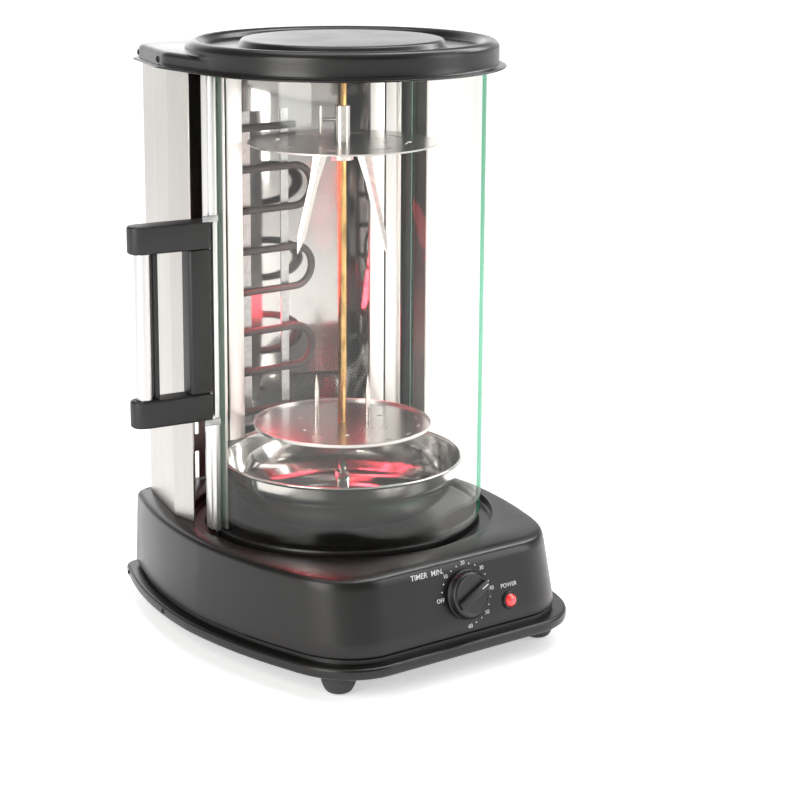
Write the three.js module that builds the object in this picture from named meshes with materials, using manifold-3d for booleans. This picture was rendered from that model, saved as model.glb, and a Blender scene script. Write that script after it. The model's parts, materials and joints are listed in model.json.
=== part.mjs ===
// Upright rotisserie oven: a barrel-shaped base, a curved glass door that slides round
// the spit axis, a steel rear housing with the heating element, and a lid.
// Millimetres, +Z up, front towards -Y. Inside this file the spit axis is x = 0, y = 0.
import * as THREE from "three";
import { mergeVertices } from "three/addons/utils/BufferGeometryUtils.js";
import { ParametricGeometry } from "three/addons/geometries/ParametricGeometry.js";
import Module from "manifold-3d";

const wasm = await Module();
wasm.setup();

// ---------- driving dimensions ----------
const GAP = 0.3; // clearance between pieces that touch
const FOOT_HEIGHT = 18.5;
const TRAY_RIM = 28; // top of the bottom tray's rolled rim
const BODY_BOTTOM = 31.3; // the painted shell stands above the rim, on a neck set back from it
const DECK_HEIGHT = 95; // flat top of the base
const LID_BOTTOM = 478.8;
const RIDGE_TOP = 501.8; // highest ring of the lid
const FLANGE = { side: 158.3, front: 184.6, rear: 155 }; // half widths of the base at its tray
const BASE_SHIFT = { x: -4, y: 3 }; // middle of the base from the spit axis
const GLASS_RADIUS = 120;
const GLASS_THICKNESS = 4;
const GLASS_BOTTOM = DECK_HEIGHT + 5.5;
const GLASS_TOP = 486;
// Degrees from the front, leftwards to the handle edge and rightwards to the tail.
const DOOR_EDGE = 97;
const DOOR_TAIL = 113;
const GROOVE_INNER = 118;
const GROOVE_OUTER = 130;
const GROOVE_DEPTH = 8;
const LINER_RADIUS = 112;
const STRIP_DEPTH = 50; // how far behind the spit axis the front strips stand
const RECESS_HALF_WIDTH = 68;
const STRIP_FOOT = 158; // the strips and recess walls end above the drip bowl's rim
const HEATER_RUNS = 8;
const HEATER_PITCH = 36;
const HEATER_LOWEST = 168;
const HEATER_TUBE_RADIUS = 3.25;
const HEATER_DEPTH = 88;
const HEATER_LEFT = -60;
const HEATER_RIGHT = 30;
const BRACKET_FOOT = 157; // clear of the drip bowl when it is lifted
const PLATE_HEIGHT = 170.4;
const PLATE_RADIUS = 76.5;
const DISC_HEIGHT = 414;
const DISC_RADIUS = 79.5;
const ROD_WIDTH = 5.2;
const ROD_TOP = 475;
const BOWL_RADIUS = 105;
const BOWL_RIM = 145.3;
const PANEL_TILT = 13; // degrees the control panel leans back
const PANEL_FOOT = { y: -174.6, z: 34 }; // bottom edge of the panel
const KNOB = { x: 5.5, z: 62.9, radius: 20.5, fin: 7, pointer: 25 }; // the pointer stands at 35 minutes
const LAMP = { x: 49.2, z: 49.7, radius: 6.3 };
const GLAND = { x: -70, y: 143, z: 52 }; // where the mains cord leaves the back of the base
const FRAME_SHIFT = { x: 20.16, y: 11.3 }; // where the spit axis stands in the part's frame
const HANDLE = { low: 193, high: 360, arm: 23, tube: 184, reach: 196 };

// ---------- finishes ----------
const finish = (color, roughness, metalness, opacity = 1) =>
  new THREE.MeshStandardMaterial({ color, roughness, metalness, opacity, transparent: opacity < 1 });
const BLACK_PAINT = finish(0x1b1a19, 0.42, 0.3);
const BLACK_PLASTIC = finish(0x161616, 0.6, 0);
const RUBBER = finish(0x232323, 0.85, 0);
const BRUSHED = finish(0xc9c6c0, 0.38, 1);
const POLISHED = finish(0xd8d6d2, 0.12, 1);
const ALUMINIUM = finish(0xdcdad5, 0.34, 1);
const BRASSY = finish(0xb08a45, 0.25, 1);
const ELEMENT = finish(0x5c5a58, 0.55, 0.6);
const GLASS = finish(0xd9efe6, 0.03, 0, 0.25);
const RED = finish(0xc01818, 0.2, 0, 0.9);
const ZINC = finish(0x9a9b9c, 0.4, 1);
const NYLON = finish(0xe8e4da, 0.5, 0);

// ---------- helpers ----------
const rad = THREE.MathUtils.degToRad;
// A point on a circle round the spit axis; 0 degrees is the front and angles grow to the right.
const at = (radius, degrees) => [radius * Math.sin(rad(degrees)), -radius * Math.cos(rad(degrees))];

// Turns a closed geometry into a solid, facing out.
function solid(geometry) {
  const g = geometry.clone();
  g.deleteAttribute("normal");
  g.deleteAttribute("uv");
  const merged = mergeVertices(g, 1e-4);
  const keep = [];
  const index = merged.index.array;
  for (let i = 0; i < index.length; i += 3) {
    const [a, b, c] = [index[i], index[i + 1], index[i + 2]];
    if (a !== b && b !== c && a !== c) keep.push(a, b, c);
  }
  const build = (triVerts) =>
    new wasm.Manifold(
      new wasm.Mesh({ numProp: 3, vertProperties: merged.attributes.position.array, triVerts }),
    );
  const made = build(new Uint32Array(keep));
  if (made.volume() > 0) return made;
  for (let i = 0; i < keep.length; i += 3) [keep[i + 1], keep[i + 2]] = [keep[i + 2], keep[i + 1]];
  return build(new Uint32Array(keep));
}

const root = new THREE.Group();
root.name = "rotisserie_oven";

// Adds one named piece, either a geometry or a solid made by booleans.
function piece(name, shape, material) {
  let geometry = shape;
  if (!shape.isBufferGeometry) {
    const m = shape.getMesh();
    geometry = new THREE.BufferGeometry();
    geometry.setAttribute("position", new THREE.BufferAttribute(new Float32Array(m.vertProperties), 3));
    geometry.setIndex(new THREE.BufferAttribute(new Uint32Array(m.triVerts), 1));
  }
  geometry.computeVertexNormals();
  const mesh = new THREE.Mesh(geometry, material);
  mesh.name = name;
  root.add(mesh);
  return mesh;
}

// An upright prism of a plan outline.
function prism(outline, low, high, segments = 12) {
  const shape =
    outline instanceof THREE.Shape
      ? outline
      : new THREE.Shape(outline.map(([x, y]) => new THREE.Vector2(x, y)));
  const g = new THREE.ExtrudeGeometry(shape, {
    depth: high - low,
    bevelEnabled: false,
    curveSegments: segments,
  });
  return solid(g.translate(0, 0, low));
}

// A body of revolution about the spit axis from [radius, height] pairs.
function turned(profile, segments = 48) {
  const points = profile.map(([r, z]) => new THREE.Vector2(r, z));
  return solid(new THREE.LatheGeometry(points, segments).rotateX(Math.PI / 2));
}

// A closed ring of revolution: the profile is closed on itself.
const ring = (profile, segments = 48) => turned([...profile, profile[0]], segments);

const box = (x0, x1, y0, y1, z0, z1) =>
  solid(
    new THREE.BoxGeometry(x1 - x0, y1 - y0, z1 - z0).translate((x0 + x1) / 2, (y0 + y1) / 2, (z0 + z1) / 2),
  );

// A round bar between two points.
function bar(from, to, radius, segments = 16, endRadius = radius) {
  const a = new THREE.Vector3(...from);
  const b = new THREE.Vector3(...to);
  const g = new THREE.CylinderGeometry(endRadius, radius, a.distanceTo(b), segments);
  const turn = new THREE.Quaternion().setFromUnitVectors(
    new THREE.Vector3(0, 1, 0),
    b.clone().sub(a).normalize(),
  );
  return solid(g.applyQuaternion(turn).translate((a.x + b.x) / 2, (a.y + b.y) / 2, (a.z + b.z) / 2));
}

// Plan of a curved sheet between two radii and two angles.
function sector(inner, outer, from, to, steps = 24) {
  const outline = [];
  for (let i = 0; i <= steps; i++) outline.push(at(outer, from + ((to - from) * i) / steps));
  for (let i = steps; i >= 0; i--) outline.push(at(inner, from + ((to - from) * i) / steps));
  return outline;
}

const union = (parts) => parts.reduce((sum, part) => sum.add(part));

// Plan outline of the base: bowed sides, a straight front and rounded corners.
// Each inset moves the sides, the front or the rear in towards the spit axis.
function basePlan(side = 0, front = 0, rear = 0) {
  const sx = (FLANGE.side - side) / FLANGE.side;
  const sf = (FLANGE.front - front) / FLANGE.front;
  const sr = (FLANGE.rear - rear) / FLANGE.rear;
  const p = (x, y) => [x * sx + BASE_SHIFT.x, (y < 0 ? y * sf : y * sr) + BASE_SHIFT.y];
  const shape = new THREE.Shape();
  const curve = (c, e) => shape.quadraticCurveTo(...p(...c), ...p(...e));
  shape.moveTo(...p(-84, -183.6));
  shape.lineTo(...p(84, -183.6));
  curve([127, -178.5], [139, -126]);
  curve([156, -70], [FLANGE.side, -8]);
  curve([157.5, 70], [127, 142]);
  curve([124.5, FLANGE.rear], [112, FLANGE.rear]);
  shape.lineTo(...p(-112, FLANGE.rear));
  curve([-124.5, FLANGE.rear], [-127, 142]);
  curve([-157.5, 70], [-FLANGE.side, -8]);
  curve([-156, -70], [-139, -126]);
  curve([-127, -178.5], [-84, -183.6]);
  return shape;
}

// A closed skin through several plan outlines, given as [height, side, front, rear insets].
function loft(levels, divisions = 5) {
  const rings = levels.map(([z, side, front, rear]) =>
    basePlan(side, front, rear)
      .getPoints(divisions)
      .slice(0, -1)
      .map((q) => new THREE.Vector3(q.x, q.y, z)),
  );
  const count = rings[0].length;
  const centre = (z) => Array.from({ length: count }, () => new THREE.Vector3(0, 0, z));
  const rows = [centre(levels[0][0]), ...rings, centre(levels.at(-1)[0])];
  const place = (u, v, target) =>
    target.copy(rows[Math.round(v * (rows.length - 1))][Math.round(u * count) % count]);
  return solid(new ParametricGeometry(place, count, rows.length - 1));
}

// ---------- base ----------
const panelInset = (z) => FLANGE.front + PANEL_FOOT.y + (z - PANEL_FOOT.z) * Math.tan(rad(PANEL_TILT));
const shellLevels = (wall) => [
  [BODY_BOTTOM - (wall ? 2 : 0), 9 + wall, 10 + wall, 5 + wall],
  [74, 11.8 + wall, panelInset(74) + wall, 4 + wall],
  [86, 12.7 + wall, panelInset(86) + wall, 3.2 + wall],
  [89.5 - wall, 13.1 + wall, 23.8 + wall, 3 + wall],
  [92.2 - wall, 13.8 + wall, 27.5 + wall, 3 + wall],
  [93.8 - wall, 14.8 + wall, 33 + wall, 3 + wall],
  [DECK_HEIGHT - wall, 17.5 + wall, 48 + wall, 3.5 + wall],
];
const grooveRing = (grow) =>
  ring([
    [GROOVE_INNER - grow, DECK_HEIGHT - GROOVE_DEPTH - grow],
    [GROOVE_OUTER + grow, DECK_HEIGHT - GROOVE_DEPTH - grow],
    [GROOVE_OUTER + grow, DECK_HEIGHT + 1],
    [GROOVE_INNER - grow, DECK_HEIGHT + 1],
  ]);
const panelNormal = [0, -Math.cos(rad(PANEL_TILT)), Math.sin(rad(PANEL_TILT))];
const panelY = (z) => BASE_SHIFT.y - (FLANGE.front - panelInset(z)) * (183.6 / 184.6);
// A point on the panel's face, or out from it by a distance along its normal.
const onPanel = ({ x, z }, out = 0) => [x, panelY(z) + panelNormal[1] * out, z + panelNormal[2] * out];

const shellHollow = loft(shellLevels(2).filter((_, i) => i % 2 === 0)).subtract(grooveRing(2));
const baseShell = loft(shellLevels(0))
  .subtract(shellHollow)
  .subtract(grooveRing(0))
  .subtract(bar([0, 0, 80], [0, 0, 100], 4.8))
  .subtract(bar([GLAND.x, GLAND.y, GLAND.z], [GLAND.x, GLAND.y + 20, GLAND.z], 5.3, 20))
  .subtract(bar(onPanel(KNOB, -12), onPanel(KNOB, 12), 4.6))
  .subtract(bar(onPanel(LAMP, -12), onPanel(LAMP, 12), LAMP.radius - 0.6));
piece("base_shell", baseShell, BLACK_PAINT);

const TRAY_WALL = 1.5;
const tray = loft([
  [FOOT_HEIGHT, 2, 2, 2],
  [FOOT_HEIGHT + 1.5, 0, 0, 0],
  [TRAY_RIM - 1.5, 0, 0, 0],
  [TRAY_RIM, 2, 2, 2],
  [TRAY_RIM, 10.5, 11, 10.5],
  [BODY_BOTTOM - GAP, 10.5, 11, 10.5],
]).subtract(
  loft([
    [FOOT_HEIGHT + TRAY_WALL, 14, 14, 14],
    [BODY_BOTTOM + 2, 14, 14, 14],
  ], 4),
);
piece("bottom_tray", tray, BLACK_PAINT);

const FEET = { front_left: [-104, -147], front_right: [104, -147], rear_left: [-100, 124], rear_right: [100, 124] };
for (const [name, [x, y]] of Object.entries(FEET)) {
  const foot = new THREE.LatheGeometry(
    [[0, 0], [7, 0], [10.5, 2], [13, 7], [14.5, 14], [14.5, FOOT_HEIGHT - GAP], [0, FOOT_HEIGHT - GAP]].map(
      ([r, z]) => new THREE.Vector2(r, z),
    ),
    16,
  ).rotateX(Math.PI / 2);
  piece("foot_" + name, solid(foot.translate(x + BASE_SHIFT.x, y + BASE_SHIFT.y, 0)), RUBBER);
}

// Motor, its gearbox and the timer inside the base.
piece("drive_motor", solid(new THREE.CylinderGeometry(24, 24, 34, 24).rotateX(Math.PI / 2).translate(0, 0, 41.5)), ZINC);
piece("motor_gearbox", box(-26, 26, -26, 32, 59, 76).subtract(bar([0, 0, 70], [0, 0, 80], 6)), ZINC);
const timerBody = bar(onPanel(KNOB, -30), onPanel(KNOB, -4), 17, 20).subtract(
  bar(onPanel(KNOB, -10), onPanel(KNOB, 0), 4.6),
);
piece("timer_body", timerBody, NYLON);
piece(
  "cord_gland",
  union([
    bar([GLAND.x, GLAND.y, GLAND.z], [GLAND.x, GLAND.y + 12, GLAND.z], 5, 20),
    bar([GLAND.x, GLAND.y + 11.2, GLAND.z], [GLAND.x, GLAND.y + 14, GLAND.z], 8, 20),
  ]),
  BLACK_PLASTIC,
);

// ---------- knob and lamp ----------
const knobBody = union([
  bar(onPanel(KNOB, 0.6), onPanel(KNOB, 8), KNOB.radius, 32, KNOB.radius - 2.2),
  bar(onPanel(KNOB, 7.9), onPanel(KNOB, 9), KNOB.radius - 2.2, 32, KNOB.radius - 4),
]);
// The raised fin points at the minutes that are left.
const fin = box(-30, 30, -KNOB.fin / 2, KNOB.fin / 2, 0, 8)
  .rotate([0, 0, KNOB.pointer])
  .rotate([90 - PANEL_TILT, 0, 0])
  .translate(onPanel(KNOB, 7))
  .intersect(bar(onPanel(KNOB, 7.5), onPanel(KNOB, 12.5), KNOB.radius - 2.6, 32, KNOB.radius - 4));
piece("timer_knob", knobBody.add(fin), BLACK_PLASTIC);
piece("timer_spindle", bar(onPanel(KNOB, -8), onPanel(KNOB, 0.3), 3.2, 16), ZINC);

const lampBezel = bar(onPanel(LAMP, 0.3), onPanel(LAMP, 2), LAMP.radius + 1.4, 20).subtract(
  bar(onPanel(LAMP, -3), onPanel(LAMP, 5), LAMP.radius - 0.7, 20),
);
piece("lamp_bezel", lampBezel, BLACK_PLASTIC);
const lampLens = union([
  bar(onPanel(LAMP, -9), onPanel(LAMP, 2.2), LAMP.radius - 1.2, 20),
  bar(onPanel(LAMP, 2.1), onPanel(LAMP, 4), LAMP.radius - 1.2, 20, LAMP.radius - 3),
]);
piece("lamp_lens", lampLens, RED);

// ---------- rear housing, liner and heating element ----------
const HOUSING = [[-125, 42.5], [-128, 69], [-106.5, 145], [-100, 149.5], [100, 149.5], [106.5, 145], [128, 69], [125, 42.5]];
// A sheet that follows a line of plan points, with its thickness to the inside.
function sheet(line, thickness) {
  const inner = line.map((p, i) => {
    const before = line[Math.max(i - 1, 0)];
    const after = line[Math.min(i + 1, line.length - 1)];
    const dirs = [[before, p], [p, after]]
      .map(([a, b]) => new THREE.Vector2(b[0] - a[0], b[1] - a[1]))
      .filter((d) => d.length() > 0)
      .map((d) => d.normalize());
    const mean = dirs.reduce((s, d) => s.clone().add(d)).normalize();
    const scale = thickness / Math.max(mean.dot(dirs[0]), 0.3);
    return [p[0] + mean.y * scale, p[1] - mean.x * scale];
  });
  return [...line, ...inner.reverse()];
}
const UNDER_LID = LID_BOTTOM + 8.4;
piece("rear_housing", prism(sheet(HOUSING, 1.5), DECK_HEIGHT + GAP, UNDER_LID), BRUSHED);

piece("slot_liner", prism(sector(LINER_RADIUS, LINER_RADIUS + 1, 117.8, 242.2, 28), DECK_HEIGHT + GAP, LID_BOTTOM - 2), POLISHED);

const recessAngle = THREE.MathUtils.radToDeg(Math.asin(RECESS_HALF_WIDTH / (LINER_RADIUS - 1.3)));
const wallDepth = Math.sqrt((LINER_RADIUS - 1.3) ** 2 - RECESS_HALF_WIDTH ** 2);
const recess = union([
  prism(sector(LINER_RADIUS - 1.3, LINER_RADIUS - 0.4, 180 - recessAngle, 180 + recessAngle, 20), DECK_HEIGHT + GAP, LID_BOTTOM - 2),
  ...[-1, 1].map((s) => {
    const xs = [s * RECESS_HALF_WIDTH, s * (RECESS_HALF_WIDTH - 0.9)].sort((a, b) => a - b);
    return box(xs[0], xs[1], STRIP_DEPTH + 1.8, wallDepth + 0.6, STRIP_FOOT, LID_BOTTOM - 2);
  }),
]);
piece("reflector", recess, POLISHED);

// The upright strips either side of the recess.
const stripLow = STRIP_FOOT;
const stripHigh = LID_BOTTOM - 2;
for (const [side, s] of [["left", -1], ["right", 1]]) {
  const upright = (from, to, y0, y1) => {
    const xs = [s * from, s * to].sort((a, b) => a - b);
    return box(xs[0], xs[1], y0, y1, stripLow, stripHigh);
  };
  piece(
    "inner_strip_" + side,
    upright(RECESS_HALF_WIDTH - 0.9, 82.5, STRIP_DEPTH, STRIP_DEPTH + 1.5),
    ALUMINIUM,
  );
  piece(
    "outer_strip_" + side,
    upright(84.2, 98.5, STRIP_DEPTH, STRIP_DEPTH + 1.5).add(upright(97.3, 98.5, STRIP_DEPTH - 3, STRIP_DEPTH + 1)),
    ALUMINIUM,
  );
}

// The element is one tube: eight level runs joined by half circles.
const heaterPath = new THREE.CurvePath();
const turnRadius = HEATER_PITCH / 2;
const runHeight = (i) => HEATER_LOWEST + i * HEATER_PITCH;
const runLeft = HEATER_LEFT + turnRadius;
const runRight = HEATER_RIGHT - turnRadius;
class HalfTurn extends THREE.Curve {
  constructor(x, z, side) {
    super();
    Object.assign(this, { x, z, side });
  }
  getPoint(t, target = new THREE.Vector3()) {
    const a = -Math.PI / 2 + Math.PI * t;
    return target.set(
      this.x + this.side * turnRadius * Math.cos(a),
      HEATER_DEPTH,
      this.z + turnRadius * (1 + Math.sin(a)),
    );
  }
}
for (let i = 0; i < HEATER_RUNS; i++) {
  const rightward = i % 2 === 1; // the lowest run starts at the right-hand end
  const [a, b] = rightward ? [runLeft, runRight] : [runRight, runLeft];
  const z = runHeight(i);
  heaterPath.add(new THREE.LineCurve3(new THREE.Vector3(a, HEATER_DEPTH, z), new THREE.Vector3(b, HEATER_DEPTH, z)));
  if (i < HEATER_RUNS - 1) heaterPath.add(new HalfTurn(b, z, rightward ? 1 : -1));
}
const tubeSection = new THREE.Shape().absarc(0, 0, HEATER_TUBE_RADIUS, 0, Math.PI * 2);
piece(
  "heating_element",
  solid(new THREE.ExtrudeGeometry(tubeSection, { steps: 104, extrudePath: heaterPath, curveSegments: 3 })),
  ELEMENT,
);
for (const [name, x] of [["left", -36], ["right", 4]]) {
  piece(
    "element_bracket_" + name,
    box(x - 4, x + 4, HEATER_DEPTH + HEATER_TUBE_RADIUS + GAP, HEATER_DEPTH + 5, BRACKET_FOOT, runHeight(HEATER_RUNS - 1) + 14),
    ZINC,
  );
}

// ---------- lid ----------
// Plan of the lid: a round front that runs back into two long sides.
function lidPlan(radius, rear, corner) {
  const k = radius / 130;
  const shape = new THREE.Shape();
  shape.moveTo(radius, 0);
  shape.lineTo(131 * k, 70);
  shape.lineTo(111.5 * k, rear - corner);
  shape.quadraticCurveTo(109.5 * k, rear, (109.5 - corner) * k, rear);
  shape.lineTo(-(109.5 - corner) * k, rear);
  shape.quadraticCurveTo(-109.5 * k, rear, -111.5 * k, rear - corner);
  shape.lineTo(-131 * k, 70);
  shape.lineTo(-radius, 0);
  shape.absarc(0, 0, radius, Math.PI, 2 * Math.PI);
  return shape;
}
const deckStep = new THREE.ExtrudeGeometry(lidPlan(125.5, 149, 11), {
  depth: 14.7,
  bevelEnabled: true,
  bevelThickness: 4.5,
  bevelSize: 4.5,
  bevelSegments: 2,
  curveSegments: 18,
}).translate(0, 0, 472.8);
const lidTop = turned([
  [0, 480], [129.9, 480], [129.9, 494.5], [128.6, 498], [126.2, 500.8], [122.6, RIDGE_TOP], [119, 500.8], [116.5, 498],
  [113.5, 495], [91, 495], [88.2, 496], [84, RIDGE_TOP - 0.6], [82.3, RIDGE_TOP], [0, RIDGE_TOP],
], 56);
const lidShell = union([
  solid(deckStep).intersect(prism([[-200, -200], [200, -200], [200, 200], [-200, 200]], 479.5, 500)),
  lidTop,
  prism(lidPlan(136, 157, 19), LID_BOTTOM, LID_BOTTOM + 1.4, 24),
])
  .subtract(prism(lidPlan(127.6, 151, 9), 470, 489, 16))
  .subtract(turned([[0, 480], [78, 480], [78, 499.4], [0, 499.4]], 24))
  .subtract(ring([[113, 480], [126.3, 480], [126.3, 494], [121, 498.5], [113, 491.5]], 40));
piece("lid", lidShell, BLACK_PAINT);

const ceiling = turned([[0, 477.3], [111, 477.3], [111, 478.5], [0, 478.5]], 40).subtract(
  bar([0, 0, 470], [0, 0, 482], 7.5, 16),
);
piece("ceiling_plate", ceiling, POLISHED);
const bearing = turned([[0, 466], [8.5, 466], [8.5, 476.9], [6.9, 477], [6.9, 482], [0, 482]], 24).subtract(
  bar([0, 0, 460], [0, 0, 479], 4.3, 20),
);
piece("top_bearing", bearing, NYLON);
piece(
  "bearing_bridge",
  box(-14, 14, -76, 76, 482.3, 485),
  ZINC,
);

// ---------- sliding glass door ----------
const glass = prism(
  sector(GLASS_RADIUS - GLASS_THICKNESS, GLASS_RADIUS, -(DOOR_EDGE + 0.8), DOOR_TAIL, 56),
  GLASS_BOTTOM,
  GLASS_TOP,
);
piece("door_glass", glass, GLASS);

// Pieces at the handle edge are drawn with the edge at the left (-X) and then turned.
// "out" is the distance from the spit axis and "fwd" the distance forward along the rim.
const edgeTurn = rad(90 - DOOR_EDGE);
const turnEdge = (part, angle = edgeTurn) => part.rotate([0, 0, THREE.MathUtils.radToDeg(angle)]);
const edgePlan = (points) => points.map(([out, fwd]) => [-out, -fwd]).reverse();
const edgePrism = (points, low, high) => turnEdge(prism(edgePlan(points), low, high));
const edgeBox = (out0, out1, fwd0, fwd1, low, high) =>
  edgePrism([[out0, fwd0], [out1, fwd0], [out1, fwd1], [out0, fwd1]], low, high);

piece(
  "door_frame_profile",
  edgePrism(
    [
      [113.2, -8], [126.2, -8], [126.2, 2], [124.2, 2], [124.2, 7.5], [120.5, 7.5], [120.5, -2.4], [115.1, -2.4],
      [115.1, 7.5], [113.2, 7.5],
    ],
    DECK_HEIGHT + 1.2,
    GLASS_TOP + 0.6,
  ),
  ALUMINIUM,
);
const shoe = (low, high, pinLow, pinHigh) =>
  turnEdge(
    union([
      prism(edgePlan([[115.6, -8], [124, -8], [124, -2.8], [115.6, -2.8]]), low, high),
      bar([-121.2, 5.4, Math.min(pinLow, low)], [-121.2, 5.4, Math.max(pinHigh, high)], 1.8, 12),
    ]),
  );
piece("door_lower_guide", shoe(DECK_HEIGHT + 0.2, DECK_HEIGHT + 0.9, DECK_HEIGHT - 6.5, DECK_HEIGHT + 0.9), NYLON);

const tailTurn = rad(DOOR_TAIL - 90);
const tailPlan = [[114.2, -2.2], [114.2, 7], [121.8, 7], [121.8, -2.2], [120.4, -2.2], [120.4, 4], [115.5, 4], [115.5, -2.2]];
const tail = prism(tailPlan, DECK_HEIGHT + 1.2, GLASS_TOP - 0.6).add(
  bar([120.3, 5.5, DECK_HEIGHT - 6.5], [120.3, 5.5, DECK_HEIGHT + 2], 1.4, 12),
);
piece("door_tail_profile", turnEdge(tail, tailTurn), ALUMINIUM);

function handleArm(low) {
  const arm = new THREE.Shape();
  arm.moveTo(-126.8, -10);
  arm.lineTo(-126.8, 10);
  arm.lineTo(-(HANDLE.reach - 12), 10);
  arm.quadraticCurveTo(-HANDLE.reach, 9.5, -HANDLE.reach, 0);
  arm.quadraticCurveTo(-HANDLE.reach, -9.5, -(HANDLE.reach - 12), -10);
  arm.closePath();
  const g = new THREE.ExtrudeGeometry(arm, {
    depth: HANDLE.arm - 3,
    bevelEnabled: true,
    bevelThickness: 1.5,
    bevelSize: 1.5,
    bevelOffset: -1.5,
    bevelSegments: 2,
    curveSegments: 8,
  });
  return turnEdge(solid(g.translate(0, 0, low + 1.5)));
}
piece("handle_upper_arm", handleArm(HANDLE.high - HANDLE.arm), BLACK_PLASTIC);
piece("handle_lower_arm", handleArm(HANDLE.low), BLACK_PLASTIC);
const gripLow = HANDLE.low + HANDLE.arm + GAP;
const gripHigh = HANDLE.high - HANDLE.arm - GAP;
piece(
  "handle_back_plate",
  edgePrism([[126.8, -8.5], [144, -8.5], [146, -6.5], [146, 6.5], [144, 8.5], [126.8, 8.5]], gripLow, gripHigh),
  BLACK_PLASTIC,
);
piece(
  "handle_grip_core",
  edgePrism([[172.4, -5], [176.4, -5], [176.4, 5], [172.4, 5]], gripLow, gripHigh),
  BLACK_PLASTIC,
);
piece("handle_grip_tube", turnEdge(bar([-HANDLE.tube, 0, gripLow], [-HANDLE.tube, 0, gripHigh], 6.75, 28)), BRUSHED);

// ---------- spit ----------
const hub = turned([[0, 77], [3.2, 77], [3.2, 164], [8, 164], [8, PLATE_HEIGHT - GAP], [0, PLATE_HEIGHT - GAP]], 24);
piece("drive_shaft", hub, ZINC);

const slotRing = (count, radius, length, width, low, high) =>
  Array.from({ length: count }, (_, i) => {
    const cut = new THREE.BoxGeometry(width, length, high - low)
      .translate(radius, 0, (low + high) / 2)
      .rotateZ((2 * Math.PI * (i + 0.5)) / count);
    return solid(cut);
  });
const lowerPlate = slotRing(14, 66, 7, 2, PLATE_HEIGHT - 2, PLATE_HEIGHT + 5).reduce(
  (plate, cut) => plate.subtract(cut),
  turned([
    [0, PLATE_HEIGHT], [PLATE_RADIUS, PLATE_HEIGHT], [PLATE_RADIUS, PLATE_HEIGHT + 3.4], [PLATE_RADIUS - 1.2, PLATE_HEIGHT + 3.4],
    [PLATE_RADIUS - 1.8, PLATE_HEIGHT + 1.4], [0, PLATE_HEIGHT + 1.4],
  ], 44),
);
piece("lower_plate", lowerPlate, POLISHED);

const half = ROD_WIDTH / 2;
const rodSquare = box(-half, half, -half, half, PLATE_HEIGHT + 1.7, 470);
piece("spit_rod", rodSquare.add(bar([0, 0, 469], [0, 0, ROD_TOP], 2.5, 16)), BRASSY);

// Two short spikes hold the meat on the lower plate, in line with the upper prongs.
const SPIKE_TURN = 36;
for (let i = 0; i < 2; i++) {
  const [x, y] = at(22, 90 + 180 * i - SPIKE_TURN);
  piece(
    "lower_spike_" + (i + 1),
    union([
      bar([x, y, PLATE_HEIGHT + 1.7], [x, y, PLATE_HEIGHT + 30], 2.2, 12),
      bar([x, y, PLATE_HEIGHT + 29.9], [x, y, PLATE_HEIGHT + 44], 2.2, 12, 0.4),
    ]),
    POLISHED,
  );
}

// The clamp screw points left and a little to the rear.
const SCREW_TURN = -28;
const rodBore = box(-half - 0.25, half + 0.25, -half - 0.25, half + 0.25, 380, 460);
const clampHub = turned([
  [0, 400], [9.5, 400], [9.5, 405.5], [6.5, 405.7], [6.5, 446], [0, 446],
], 24)
  .subtract(rodBore)
  .subtract(bar([-12, 0, 434], [0, 0, 434], 1.9, 12).rotate([0, 0, SCREW_TURN]));
piece("clamp_hub", clampHub, POLISHED);

const disc = slotRing(8, 55, 4, 20, DISC_HEIGHT - 3, DISC_HEIGHT + 3).reduce(
  (plate, cut) => plate.subtract(cut),
  turned([
    [0, DISC_HEIGHT], [DISC_RADIUS, DISC_HEIGHT], [DISC_RADIUS, DISC_HEIGHT + 1.4], [0, DISC_HEIGHT + 1.4],
  ], 44).subtract(bar([0, 0, 400], [0, 0, 430], 6.8, 16)),
);
piece("upper_disc", disc, POLISHED);

// Two flat prongs hang from the upper disc, splayed outwards and pointed.
function prong(side) {
  const blade = new THREE.Shape();
  blade.moveTo(-6, 0);
  blade.lineTo(6, 0);
  blade.lineTo(3.8, -34);
  blade.lineTo(3.6, -80);
  blade.lineTo(0, -97);
  blade.lineTo(-3.6, -80);
  blade.lineTo(-3.8, -34);
  blade.closePath();
  const g = new THREE.ExtrudeGeometry(blade, { depth: 2.2, bevelEnabled: false })
    .rotateX(Math.PI / 2)
    .translate(0, 1.1, 0);
  return solid(g.rotateY(side * rad(-13)).translate(side * 16, 0, DISC_HEIGHT - GAP)).rotate([0, 0, -SPIKE_TURN]);
}
const lowerHalf = box(-100, 100, -100, 100, 300, DISC_HEIGHT - GAP);
piece("prong_left", prong(-1).intersect(lowerHalf), POLISHED);
piece("prong_right", prong(1).intersect(lowerHalf), POLISHED);

// The clamp screw: a threaded stub with a bent wire handle.
const thumbScrew = union([
  bar([-18, 0, 434], [-4.3, 0, 434], 1.6, 12),
  bar([-18, 0, 421.5], [-18, 0, 446], 1.5, 12),
]).rotate([0, 0, SCREW_TURN]);
piece("clamp_screw", thumbScrew, ZINC);

// ---------- drip bowl ----------
const floorZ = DECK_HEIGHT + GAP;
const bowl = turned([
  [4.9, floorZ], [60, floorZ], [78, floorZ + 7], [92, floorZ + 19.5], [101.3, floorZ + 47.4],
  [BOWL_RADIUS, floorZ + 48.4], [BOWL_RADIUS, BOWL_RIM], [100.2, BOWL_RIM], [91, floorZ + 20.8],
  [77, floorZ + 8.4], [60, floorZ + 1.2], [6.6, floorZ + 1.2], [6.6, 129], [4.9, 129], [4.9, floorZ],
], 44);
piece("drip_bowl", bowl, POLISHED);

// The frame's origin is under the middle of the whole oven, handle included.
root.position.set(FRAME_SHIFT.x, FRAME_SHIFT.y, 0);
root.updateMatrixWorld(true);

export default root;
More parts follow.
